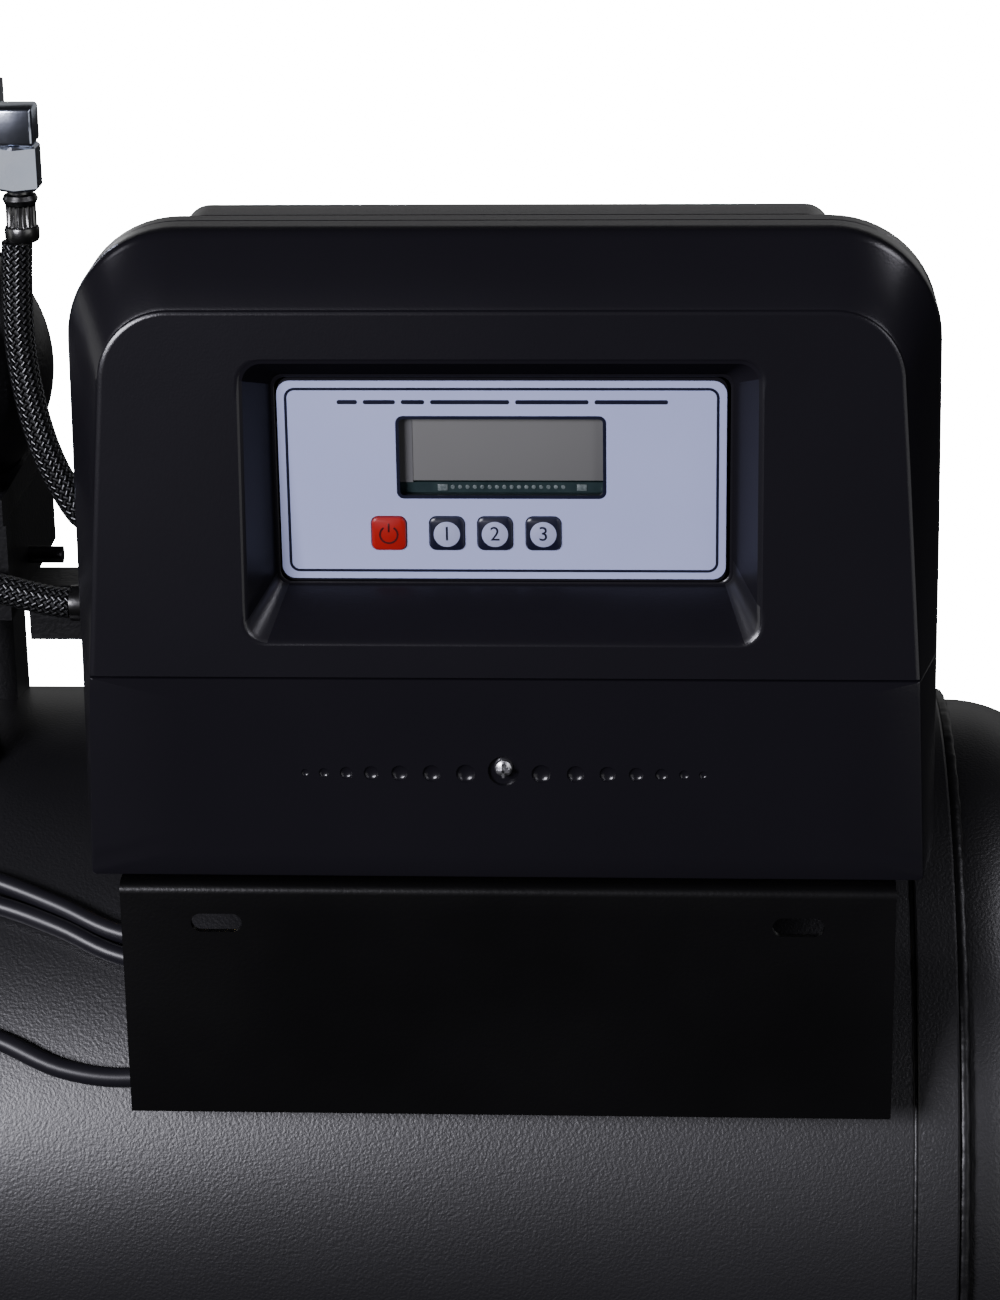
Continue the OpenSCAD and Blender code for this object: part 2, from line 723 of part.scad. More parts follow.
module cylinder_heads() {
    color("#8d8f92") each_cylinder() difference() {
        union() {
            translate([0, 0, cyl_top]) linear_extrude(head_h - 6) rounded(76, 76, 3);
            for (y = [-33 : 11 : 33]) slab(-34, 34, y - 2, y + 2, cyl_top + 18, cyl_top + head_h);
        }
        up(cyl_top - 1, cyl_top + 8, 20);
        for (x = [-1, 1], y = [-1, 1]) translate([x * 31, y * 31, 0]) {
            up(cyl_top + 2, cyl_top + 30, 2.6);
            up(cyl_top + 18, cyl_top + 30, 5);
        }
    }
}
module pistons() {
    color("silver") each_cylinder() {
        up(62, 76, bore_r - 0.3);
        slab(-5, 5, -4, 4, 23, 62);
        difference() {
            along_x(-5, 5, 26);
            along_x(-6, 6, 20);
        }
    }
}
module rotor(i) {
    color("silver") at_pump(i) {
        along_x(-104, 104, axle_r);
        along_x(-34, 34, 32.4);
        for (s = [-1, 1]) {
            translate([s * cyl_u, 0, -5]) along_x(-5, 5, 14);
            translate([s * 94, 0, 0]) {
                along_x(-4, 6, 13);
                along_x(-1, 1, 33);
                for (a = [10 : 45 : 325]) rotate([a, 0, 0]) slab(0, 5, -1, 1, 12, 31);
            }
        }
    }
}
module fan_covers() {
    u1 = motor_l / 2 + case_l;
    color("#1b1b1e") for (i = [1 : 3]) at_pump(i) both_ends() difference() {
        translate([dome_u, 0, 0]) rotate([0, 90, 0]) rotate_extrude() difference() {
            circle(r = dome_r);
            circle(r = dome_r - wall);
            translate([-100, -100]) square([100, 200]);
            translate([-100, -100]) square([200, 100 + u1 - dome_u]);
        }
        for (a = [0 : 22.5 : 337.5]) rotate([a, 0, 0]) slab(u1 + 12, 200, -2, 2, 14, 40);
        slab(0, 200, -100, 100, -100, foot_z + 0.1);
    }
}
module intake_filters() {
    color("#1c1c1f") each_cylinder() {
        up(cyl_top + head_h, cyl_top + head_h + 5, 8);
        up(cyl_top + head_h + 5, cyl_top + head_h + 27, 18);
    }
}
module pump_cradles() {
    h0 = foot_z - cradle_h;
    color("#101012") for (i = [1 : 3]) at_pump(i) difference() {
        slab(-cradle_half_l, cradle_half_l, -foot_half_w, foot_half_w, h0, foot_z);
        slab(3 - cradle_half_l, cradle_half_l - 3, 3 - foot_half_w, foot_half_w - 3, h0 - 1, foot_z - 3);
        for (u = [-1, 1], y = [-1, 1]) {
            translate([u * mount_u, y * mount_y, 0]) up(-100, 0, 4.2);
            translate([u * screw_u, y * screw_y, 0]) up(-100, 0, 3.1);
        }
    }
    color("silver") at_pump(3) translate([0, -8, foot_z - 25.5])
        along_x(cradle_half_l, cradle_half_l + 13.5, 3.4);
}
module isolators() {
    color("#1d1d1d") mounts_of_pumps() up(isolator_z, cradle_top - 3, 13);
    color("silver") mounts_of_pumps() {
        up(isolator_z - 10, isolator_z, 4);
        up(cradle_top - 3, cradle_top, 4);
    }
}
module pump_screws() {
    color("silver") each_cylinder() for (x = [-1, 1], y = [-1, 1]) translate([x * 31, y * 31, 0]) {
        up(cyl_top + 2, cyl_top + 18, 2.6);
        up(cyl_top + 18, cyl_top + 22, 4.4);
    }
    color("silver") for (i = [1 : 3]) at_pump(i) both_ends() for (s = [-1, 1])
        translate([screw_u, s * screw_y, 0]) {
            up(foot_z - 3, foot_z + foot_t, 3);
            hex(foot_z + foot_t, foot_z + foot_t + 4.5, 12);
        }
}

// ---------------------------------------------------------------- hoses and leads

module elbow_set(i) {
    at_pump(i) translate([elbow_u, elbow_y, 0]) {
        translate([0, 0, 102]) along_x(101 - elbow_u, -7.5, 5.5);
        slab(-7.5, 7.5, -7.5, 7.5, 95.5, 110);
        hex(78.3, 95.5, 15.6);
        up(58.5, 78.3, ferrule_r);
    }
}
module air_fittings() {
    color("#b9bec8") for (i = [1 : 3]) elbow_set(i);
    color("#b9bec8") at_tank() {
        translate([251, manifold_y, 0]) up(manifold_z + 22, 263, ferrule_r);
        translate([0, -62, 245]) along_x(243, 252, ferrule_r + 0.6);
        translate([-262, -66, 0]) up(196, 214, ferrule_r + 1);
    }
}
module air_hose_1() { color("#5a5c5f") at_tank() tube(hose_1_route, hose_r, 3); }
module air_hose_2() { color("#5a5c5f") at_tank() tube(hose_2_route, hose_r, 2); }
module air_hose_3() { color("#5a5c5f") at_tank() tube(hose_3_route, hose_r, 2); }
module motor_leads() {
    color("#101010") at_tank() {
        tube(lead_1_route, lead_r, 2);
        tube(lead_2_route, lead_r, 2);
        tube(lead_3_route, lead_r, 2);
    }
}

// ---------------------------------------------------------------- nodes

front_cover();
wiring_cover();
rear_housing();
panel_label();
display_module();
key(key_xs[0], "red");  // power_button
key(key_xs[1], "#25262e");  // select_button_1
key(key_xs[2], "#25262e");  // select_button_2
key(key_xs[3], "#25262e");  // select_button_3
cover_screw();
control_board();
power_relays();
cable_glands();
control_bracket();
tank_shell();
tank_head_left();
tank_head_right();
pump_legs();
tank_feet();
rubber_feet();
axle();
wheel(-1);  // wheel_front
wheel(1);  // wheel_back
tyre(-1);  // tyre_front
tyre(1);  // tyre_back
handle_bar();
handle_grip();
drain_valve();
drain_knob();
inlet_manifold();
check_valves();
outlet_block();
pressure_gauge();
gauge_needle();
safety_valve();
safety_ring();
outlet_valve();
outlet_lever();
motor(1);  // pump_1_motor
motor(2);  // pump_2_motor
motor(3);  // pump_3_motor
crankcases(1);  // pump_1_crankcases
crankcases(2);  // pump_2_crankcases
crankcases(3);  // pump_3_crankcases
rotor(1);  // pump_1_rotor
rotor(2);  // pump_2_rotor
rotor(3);  // pump_3_rotor
cylinders();
cylinder_heads();
pistons();
fan_covers();
intake_filters();
pump_cradles();
isolators();
pump_screws();
air_fittings();
air_hose_1();
air_hose_2();
air_hose_3();
motor_leads();
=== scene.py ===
"""Looks of the air compressor. Shapes are drawn in millimetres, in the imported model's own frame.

Order: camera, materials, mesh helpers, control box, tank, pumps, fittings, hoses and leads,
the CAD nodes that are shown as they are, then lights and stage.
"""

import json
import math
import random

import bpy
import bmesh
from mathutils import Matrix, Vector

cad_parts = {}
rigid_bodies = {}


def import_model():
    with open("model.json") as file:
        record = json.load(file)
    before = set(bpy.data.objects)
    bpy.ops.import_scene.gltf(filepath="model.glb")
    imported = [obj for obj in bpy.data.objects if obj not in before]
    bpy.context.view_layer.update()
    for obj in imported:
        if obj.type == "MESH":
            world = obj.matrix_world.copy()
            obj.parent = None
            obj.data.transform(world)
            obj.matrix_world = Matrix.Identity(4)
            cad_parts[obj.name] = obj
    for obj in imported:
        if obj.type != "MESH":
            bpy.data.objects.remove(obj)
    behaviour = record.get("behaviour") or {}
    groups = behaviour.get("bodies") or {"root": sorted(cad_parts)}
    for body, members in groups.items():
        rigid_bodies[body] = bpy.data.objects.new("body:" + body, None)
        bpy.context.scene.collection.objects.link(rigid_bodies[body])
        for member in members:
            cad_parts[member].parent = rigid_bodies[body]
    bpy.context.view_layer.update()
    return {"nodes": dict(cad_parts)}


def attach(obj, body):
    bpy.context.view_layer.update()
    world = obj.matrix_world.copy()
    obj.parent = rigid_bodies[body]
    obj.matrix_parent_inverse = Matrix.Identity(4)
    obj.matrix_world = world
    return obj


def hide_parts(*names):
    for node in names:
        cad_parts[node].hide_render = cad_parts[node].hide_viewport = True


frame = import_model()
random.seed(7)

MM = 0.001
TANK_Z = 262
BOX = Vector((413.5, -185, 449))
PUMP_Z = 582.5
PUMP_XS = (-390.5, -140.5, 109.5)
BODY = "chassis"

# ------------------------------------------------------------------ camera

CAMERA_PLACE = (0.4775, -1.3151, 0.9532)
LENS, SENSOR = 97.77, 36
YAW, TILT, ROLL = (math.radians(a) for a in (-3.270, 20.309, -0.879))
forward = Vector((math.sin(YAW) * math.cos(TILT), math.cos(YAW) * math.cos(TILT), -math.sin(TILT)))
flat_right = Vector((math.cos(YAW), -math.sin(YAW), 0))
flat_up = flat_right.cross(forward)
right = flat_right * math.cos(ROLL) + flat_up * math.sin(ROLL)
upward = right.cross(forward)

camera = bpy.data.objects.new("camera", bpy.data.cameras.new("camera"))
bpy.context.scene.collection.objects.link(camera)
bpy.context.scene.camera = camera
camera.data.lens, camera.data.sensor_width = LENS, SENSOR
camera.data.clip_start, camera.data.clip_end = 0.05, 60
camera.matrix_world = Matrix(
    (
        (right.x, upward.x, -forward.x, CAMERA_PLACE[0]),
        (right.y, upward.y, -forward.y, CAMERA_PLACE[1]),
        (right.z, upward.z, -forward.z, CAMERA_PLACE[2]),
        (0, 0, 0, 1),
    )
)

# ------------------------------------------------------------------ materials


def node_of(tree, kind, **inputs):
    n = tree.nodes.new(kind)
    for name, value in inputs.items():
        n.inputs[name.replace("_", " ")].default_value = value
    return n


def paint(name, dark, light, rough, scale=40.0, bump=0.0, bump_scale=300.0, metallic=0.0, coat=0.0,
          rough_spread=0.05, specular=0.5):
    """A surface whose colour and roughness drift a little, with a fine grain."""
    m = bpy.data.materials.new(name)
    m.use_nodes = True
    t = m.node_tree
    s = t.nodes["Principled BSDF"]
    s.inputs["Metallic"].default_value = metallic
    s.inputs["Specular IOR Level"].default_value = specular
    if coat:
        s.inputs["Coat Weight"].default_value = coat
        s.inputs["Coat Roughness"].default_value = 0.12
    place = t.nodes.new("ShaderNodeTexCoord")
    noise = node_of(t, "ShaderNodeTexNoise", Scale=scale, Detail=3.0, Roughness=0.55)
    t.links.new(place.outputs["Object"], noise.inputs["Vector"])
    ramp = t.nodes.new("ShaderNodeValToRGB")
    ramp.color_ramp.elements[0].position, ramp.color_ramp.elements[1].position = 0.3, 0.7
    ramp.color_ramp.elements[0].color = (*dark, 1)
    ramp.color_ramp.elements[1].color = (*light, 1)
    t.links.new(noise.outputs["Fac"], ramp.inputs["Fac"])
    t.links.new(ramp.outputs["Color"], s.inputs["Base Color"])
    spread = t.nodes.new("ShaderNodeMapRange")
    spread.inputs["To Min"].default_value = max(0.02, rough - rough_spread)
    spread.inputs["To Max"].default_value = rough + rough_spread
    t.links.new(noise.outputs["Fac"], spread.inputs["Value"])
    t.links.new(spread.outputs["Result"], s.inputs["Roughness"])
    if bump:
        grain = node_of(t, "ShaderNodeTexNoise", Scale=bump_scale, Detail=2.0)
        t.links.new(place.outputs["Object"], grain.inputs["Vector"])
        b = node_of(t, "ShaderNodeBump", Strength=bump, Distance=0.0006)
        t.links.new(grain.outputs["Fac"], b.inputs["Height"])
        t.links.new(b.outputs["Normal"], s.inputs["Normal"])
    return m


def braid(name, wire, gap):
    """Woven wire: two crossing sets of strands, laid out along the hose's own U and V."""
    m = paint(name, gap, gap, 0.35, metallic=0.9)
    t = m.node_tree
    s = t.nodes["Principled BSDF"]
    uv = t.nodes.new("ShaderNodeUVMap")
    uv.uv_map = "UVMap"
    split = t.nodes.new("ShaderNodeSeparateXYZ")
    t.links.new(uv.outputs["UV"], split.inputs["Vector"])

    def maths(op, a, b=0.0):
        n = t.nodes.new("ShaderNodeMath")
        n.operation = op
        for k, v in enumerate((a, b)):
            if hasattr(v, "links"):
                t.links.new(v, n.inputs[k])
            else:
                n.inputs[k].default_value = v
        return n.outputs["Value"]

    # strands run along u+v and u-v, and each passes over the other by turns
    a = maths("ADD", split.outputs["X"], split.outputs["Y"])
    b = maths("SUBTRACT", split.outputs["X"], split.outputs["Y"])
    strand_a = maths("ABSOLUTE", maths("SINE", maths("MULTIPLY", a, math.pi)))
    strand_b = maths("ABSOLUTE", maths("SINE", maths("MULTIPLY", b, math.pi)))
    row_a, row_b = maths("FLOOR", a), maths("FLOOR", b)
    over = maths("GREATER_THAN", maths("SINE", maths("MULTIPLY", row_a, math.pi / 2 + 0.001)), 0.0)
    parity = maths("MODULO", maths("ABSOLUTE", maths("ADD", row_a, row_b)), 2.0)
    height = maths("ADD", maths("MULTIPLY", strand_a, parity),
                   maths("MULTIPLY", strand_b, maths("SUBTRACT", 1.0, parity)))
    height = maths("ADD", maths("MULTIPLY", height, 0.97), maths("MULTIPLY", over, 0.03))
    ramp = t.nodes.new("ShaderNodeValToRGB")
    ramp.color_ramp.elements[0].position, ramp.color_ramp.elements[1].position = 0.25, 0.85
    ramp.color_ramp.elements[0].color = (*gap, 1)
    ramp.color_ramp.elements[1].color = (*wire, 1)
    t.links.new(height, ramp.inputs["Fac"])
    t.links.new(ramp.outputs["Color"], s.inputs["Base Color"])
    b2 = node_of(t, "ShaderNodeBump", Strength=1.0, Distance=0.0009)
    t.links.new(height, b2.inputs["Height"])
    t.links.new(b2.outputs["Normal"], s.inputs["Normal"])
    return m


# recess, slope and corner are copies of the box's plastic that paint light and shade on parts of the front
# cover: recess has no reflection and a lighter base, painting shade on the recess's top slope; slope has a weak
# reflection, painting shade on the side slopes; corner has a strong reflection, painting brighter highlights on
# the lower corner creases
M = {
    "box": paint("box_plastic", (0.0074, 0.0069, 0.0094), (0.0082, 0.0076, 0.0104), 0.23, 9, 0.06, 1500,
                 rough_spread=0.02),
    "recess": paint("recess_plastic_painted_shade", (0.0100, 0.0094, 0.0124), (0.0110, 0.0103, 0.0136), 0.5, 9, 0.06, 1500,
                    specular=0.0),
    "slope": paint("slope_plastic_painted_shade", (0.0084, 0.0079, 0.0104), (0.0092, 0.0086, 0.0114), 0.33, 9, 0.06, 1500,
                   specular=0.12),
    "corner": paint("corner_plastic_painted_highlight", (0.0084, 0.0079, 0.0104), (0.0092, 0.0086, 0.0114), 0.33, 9, 0.06, 1500,
                    specular=1.0),
    "label": paint("label_film", (0.42, 0.46, 0.72), (0.435, 0.475, 0.735), 0.34, 25, 0.02, 900),
    "navy": paint("navy_print", (0.006, 0.007, 0.020), (0.009, 0.010, 0.025), 0.3, 60),
    "red": paint("red_key", (0.33, 0.009, 0.008), (0.36, 0.011, 0.010), 0.34, 90, specular=0.25),
    "dark_red": paint("dark_red_print", (0.045, 0.003, 0.004), (0.055, 0.004, 0.005), 0.35, 90),
    "key_disc": paint("key_disc_print", (0.36, 0.39, 0.58), (0.40, 0.43, 0.62), 0.32, 80),
    "lcd": paint("display_glass", (0.150, 0.150, 0.146), (0.162, 0.162, 0.158), 0.10, 12, coat=0.5),
    "lcd_edge": paint("display_edge", (0.115, 0.115, 0.118), (0.125, 0.125, 0.128), 0.15, 30),
    "pcb": paint("circuit_board", (0.010, 0.022, 0.024), (0.016, 0.032, 0.034), 0.35, 200),
    "solder": paint("solder_white", (0.05, 0.07, 0.07), (0.16, 0.19, 0.19), 0.4, 900),
    "plate": paint("bracket_paint", (0.0030, 0.0029, 0.0031), (0.0038, 0.0037, 0.0039), 0.27, 14, 0.10, 700),
    "tank": paint("tank_paint", (0.0070, 0.0069, 0.0082), (0.0090, 0.0088, 0.0104), 0.40, 7, 0.26, 900,
                  rough_spread=0.03, specular=0.85),
    "weld": paint("weld_paint", (0.004, 0.004, 0.0045), (0.006, 0.006, 0.0066), 0.40, 60, 0.5, 260),
    "pump": paint("pump_paint", (0.0045, 0.0045, 0.005), (0.007, 0.007, 0.0078), 0.38, 30, 0.3, 520),
    "cast": paint("cast_aluminium", (0.30, 0.31, 0.32), (0.42, 0.43, 0.44), 0.42, 60, 0.4, 420, metallic=0.9),
    "steel": paint("zinc_steel", (0.50, 0.55, 0.66), (0.60, 0.64, 0.74), 0.22, 70, 0.05, 500, metallic=1.0),
    "screw": paint("screw_zinc", (0.74, 0.74, 0.76), (0.82, 0.82, 0.84), 0.34, 70, 0.05, 500, metallic=1.0),
    "dark_steel": paint("dark_steel", (0.10, 0.10, 0.10), (0.20, 0.20, 0.195), 0.28, 120, 0.1, 700,
                        metallic=1.0),
    "brass": paint("brass", (0.50, 0.35, 0.12), (0.62, 0.46, 0.18), 0.3, 60, 0.05, 400, metallic=1.0),
    "rubber": paint("black_rubber", (0.007, 0.007, 0.007), (0.012, 0.012, 0.012), 0.55, 50, 0.2, 500),
    "cable": paint("cable_sheath", (0.0100, 0.0096, 0.0135), (0.0125, 0.0120, 0.0160), 0.38, 40, 0.03, 300),
    "tyre": paint("tyre_rubber", (0.008, 0.008, 0.008), (0.014, 0.014, 0.014), 0.6, 50, 0.3, 400),
    "black": paint("black_plastic", (0.006, 0.006, 0.0065), (0.009, 0.009, 0.0095), 0.42, 50, 0.15, 600),
    "red_plastic": paint("red_plastic", (0.36, 0.015, 0.015), (0.45, 0.02, 0.02), 0.4, 60, 0.1, 500),
    "blue": paint("relay_plastic", (0.02, 0.07, 0.26), (0.03, 0.10, 0.34), 0.4, 60),
    "braid": braid("steel_braid", (0.115, 0.117, 0.120), (0.0015, 0.0015, 0.0016)),
}

# ------------------------------------------------------------------ mesh helpers


class Shape:
    """Gathers faces in millimetres, and becomes one piece."""

    def __init__(self):
        self.v, self.f, self.m, self.uv = [], [], [], {}

    def add(self, verts, faces, mat=0):
        base = len(self.v)
        self.v.extend(Vector(p) for p in verts)
        for face in faces:
            self.f.append([base + i for i in face])
            self.m.append(mat)
        return base

    def rings(self, rings, mat=0, caps=(False, False)):
        """Skin between closed rings of points, with a cap on either end if asked."""
        n = len(rings[0])
        faces = []
        for r in range(len(rings) - 1):
            for k in range(n):
                j = (k + 1) % n
                faces.append([r * n + k, r * n + j, (r + 1) * n + j, (r + 1) * n + k])
        if caps[0]:
            faces.append(list(range(n))[::-1])
        if caps[1]:
            faces.append([(len(rings) - 1) * n + k for k in range(n)])
        return self.add([p for r in rings for p in r], faces, mat)

    def lathe(self, profile, centre=(0, 0, 0), axis="X", n=64, mat=0, caps=(False, False)):
        """profile is a list of (place along the axis, radius)."""
        c = Vector(centre)
        rings = []
        for h, r in profile:
            ring = []
            for k in range(n):
                a = 2 * math.pi * k / n
                p, q = r * math.cos(a), r * math.sin(a)
                ring.append(c + Vector({"X": (h, p, q), "Y": (q, h, p), "Z": (p, q, h)}[axis]))
            rings.append(ring)
        self.rings(rings, mat, caps=caps)

    def solid(self, h0, h1, r, centre=(0, 0, 0), axis="Z", n=48, mat=0, edge=0.5):
        self.lathe([(h0, r - edge), (h0 + edge * 0.3, r - edge * 0.3), (h0 + edge, r), (h1 - edge, r),
                    (h1 - edge * 0.3, r - edge * 0.3), (h1, r - edge)], centre, axis, n, mat, (True, True))

    def block(self, lo, hi, mat=0, edge=0.6, n=2):
        """Box with small chamfers."""
        bm = bmesh.new()
        bmesh.ops.create_cube(bm, size=1)
        lo, hi = Vector(lo), Vector(hi)
        for v in bm.verts:
            v.co = Vector(((lo + hi)[i] / 2 + v.co[i] * (hi - lo)[i] for i in range(3)))
        edge = min(edge, min(hi - lo) * 0.45)
        if edge > 0:
            bmesh.ops.bevel(bm, geom=bm.edges[:], offset=edge, segments=n, profile=0.5, affect="EDGES")
        indexed(bm)
        self.add([v.co.copy() for v in bm.verts], [[v.index for v in f.verts] for f in bm.faces], mat)
        bm.free()

    def plate(self, outline, y0, y1, mat=0, edge=0.4, centre=(0, 0, 0)):
        """Upright outline of (x, z), from y0 back to y1, with a chamfered front and back edge."""
        c = Vector(centre)
        inner = shrink(outline, edge)
        rings = [[c + Vector((x, y, z)) for x, z in o] for y, o in
                 ((y0, inner), (y0 + edge, outline), (y1 - edge, outline), (y1, inner))]
        self.rings(rings, mat, caps=(True, True))

    def tube(self, path, radius, n=16, uv_pitch=None, strands=16):
        """Round tube along a path; with uv_pitch, its U goes round and its V runs along it."""
        pts = smooth(path)
        frames = carry(pts)
        rings = []
        for p, (s, u) in zip(pts, frames):
            rings.append([p + radius * (math.cos(2 * math.pi * k / n) * s + math.sin(2 * math.pi * k / n) * u)
                          for k in range(n)])
        base_face = len(self.f)
        self.rings(rings, caps=(True, True))
        if uv_pitch:
            run, places = 0.0, [0.0]
            for a, b in zip(pts, pts[1:]):
                run += (b - a).length
                places.append(run)
            for r in range(len(rings) - 1):
                v0, v1 = places[r] / uv_pitch, places[r + 1] / uv_pitch
                for k in range(n):
                    u0, u1 = k * strands / n, (k + 1) * strands / n
                    self.uv[base_face + r * n + k] = [(u0, v0), (u1, v0), (u1, v1), (u0, v1)]

    def done(self, name, mats, slot=None, replaces=(), body=BODY, angle=32, weld=0.0):
        """Makes the mesh object, parents it to its body and hides the CAD nodes it replaces."""
        mesh = bpy.data.meshes.new(name)
        mesh.from_pydata([p * MM for p in self.v], [], self.f)
        for mat in mats:
            mesh.materials.append(M[mat])
        for poly, index in zip(mesh.polygons, self.m):
            poly.material_index = index
            poly.use_smooth = True
        if self.uv:
            layer = mesh.uv_layers.new(name="UVMap")
            for index, corners in self.uv.items():
                for loop, place in zip(mesh.polygons[index].loop_indices, corners):
                    layer.data[loop].uv = place
        bm = bmesh.new()
        bm.from_mesh(mesh)
        if weld:
            bmesh.ops.remove_doubles(bm, verts=bm.verts, dist=weld * MM)
        bmesh.ops.recalc_face_normals(bm, faces=bm.faces)
        bm.to_mesh(mesh)
        bm.free()
        mesh.set_sharp_from_angle(angle=math.radians(angle))
        mesh.validate()
        o = bpy.data.objects.new(name, mesh)
        bpy.context.scene.collection.objects.link(o)
        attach(o, body)
        if replaces:
            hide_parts(*replaces)
        return o


def indexed(bm):
    """Numbers the vertices and faces."""
    bm.verts.index_update()
    bm.faces.index_update()


def shrink(outline, d):
    """Moves an outline of (x, z) inwards by d."""
    out, n = [], len(outline)
    pairs = zip(outline, outline[1:] + outline[:1])
    turn = 1 if sum(a[0] * b[1] - b[0] * a[1] for a, b in pairs) > 0 else -1
    for i in range(n):
        a, b, c = (Vector(outline[(i + k) % n]) for k in (-1, 0, 1))
        d0, d1 = (b - a).normalized(), (c - b).normalized()
        n0, n1 = Vector((-d0.y, d0.x)) * turn, Vector((-d1.y, d1.x)) * turn
        m = n0 + n1
        m = m.normalized() if m.length > 1e-6 else n0
        out.append(tuple(b + m * (d / max(0.4, m.dot(n0)))))
    return out


def rounded(w, h, r, cx=0.0, cz=0.0, arc=8):
    """Outline of a rounded rectangle, counter-clockwise from the right."""
    pts = []
    for sx, sz, a0 in ((1, 1, 0), (-1, 1, 90), (-1, -1, 180), (1, -1, 270)):
        for k in range(arc + 1):
            a = math.radians(a0 + 90 * k / arc)
            pts.append((cx + sx * (w / 2 - r) + r * math.cos(a), cz + sz * (h / 2 - r) + r * math.sin(a)))
    return pts


def smooth(path, step=4.0):
    """Points of a Catmull-Rom curve through the path, evenly fine."""
    p = [Vector(q) for q in path]
    out = []
    for i in range(len(p) - 1):
        a = p[i - 1] if i else 2 * p[0] - p[1]
        b, c = p[i], p[i + 1]
        d = p[i + 2] if i + 2 < len(p) else 2 * p[-1] - p[-2]
        n = max(2, int((c - b).length / step))
        for k in range(n):
            t = k / n
            out.append(0.5 * (2 * b + (c - a) * t + (2 * a - 5 * b + 4 * c - d) * t * t
                              + (3 * b - a - 3 * c + d) * t ** 3))
    out.append(p[-1])
    return out


def carry(pts):
    """Two side directions at each point, carried along so that the tube doesn't twist."""
    frames = []
    side = None
    for i, p in enumerate(pts):
        d = (pts[min(i + 1, len(pts) - 1)] - pts[max(i - 1, 0)]).normalized()
        if side is None:
            side = d.cross(Vector((0, 0, 1)) if abs(d.z) < 0.9 else Vector((1, 0, 0))).normalized()
        side = (side - d * side.dot(d)).normalized()
        frames.append((side, d.cross(side)))
    return frames


def spread(values):
    """Linear look-up in a list of (place, value) pairs."""

    def at(x):
        if x <= values[0][0]:
            return values[0][1]
        for (x0, y0), (x1, y1) in zip(values, values[1:]):
            if x <= x1:
                return y0 + (y1 - y0) * (x - x0) / (x1 - x0)
        return values[-1][1]

    return at


# ------------------------------------------------------------------ control box

SEAM = 74.5
RAKE = math.tan(math.radians(5.4))
FLOOR = 24.6
LABEL_Z = 138.3
COVER_BACK = 45.0
WALL = 2.2
face_width = spread([(0, 146), (74.5, 143), (145, 138.5), (178, 136.2)])
rim_width = spread([(0, 151), (117, 150), (167, 149.3), (188, 149)])


def box_ring(width, z0, z1, r, low_r, inset=0.0, sides=14, arc=14, tops=10, low_inset=None):
    """Half-outline from the bottom centre up the right side to the top centre, then mirrored."""
    w_top = width(z1 - r) - inset
    z0, z1 = z0 + (inset if low_inset is None else low_inset), z1 - inset
    r = max(0.5, r - inset)
    low_r = max(0.3, low_r - inset * 0.5)
    half = []
    w_low = width(z0) - inset
    for k in range(tops):
        half.append(((w_low - low_r) * k / tops, z0))
    low_arc = 5
    for k in range(low_arc):
        a = math.radians(-90 + 90 * k / low_arc)
        half.append((w_low - low_r + low_r * math.cos(a), z0 + low_r + low_r * math.sin(a)))
    for k in range(sides):
        z = z0 + low_r + (z1 - r - z0 - low_r) * k / sides
        half.append((width(z) - inset, z))
    for k in range(arc):
        a = math.radians(90 * k / arc)
        half.append((w_top - r + r * math.cos(a), z1 - r + r * math.sin(a)))
    for k in range(tops + 1):
        half.append(((w_top - r) * (1 - k / tops), z1))
    left = [(-x, z) for x, z in half[1:-1]][::-1]
    return half + left


def box_point(x, y, z):
    """A place stated from the middle of the box's lower front edge."""
    return BOX + Vector((x, y, z))


def face_y(z):
    """Depth of the raked front face at a height."""
    return max(0.0, z - SEAM) * RAKE


def at_box(points, y):
    """Points of the outline, at depth y (a number, or a function of the height)."""
    return [BOX + Vector((x, y(z) if callable(y) else y, z)) for x, z in points]


FACE_TOP, RIM_TOP = 201.5, 224.5
# places of the plastic copies that paint shade (top slope, sides) and highlights (lower corners) in the recess
TOP_SLOPE_PAINTED_SHADE, SIDE_SLOPE_PAINTED_SHADE, LOWER_CORNER_PAINTED_HIGHLIGHT = 1, 2, 3


def bevel_y(t, dy=0.0):
    """Depth along the bevel between the face's edge (t=0) and the rim (t=1)."""
    return lambda z: (face_y(min(z, FACE_TOP)) * (1 - t) + 30 * t) + dy


def blend_rings(a, b, t):
    return [(p[0] + (q[0] - p[0]) * t, p[1] + (q[1] - p[1]) * t) for p, q in zip(a, b)]


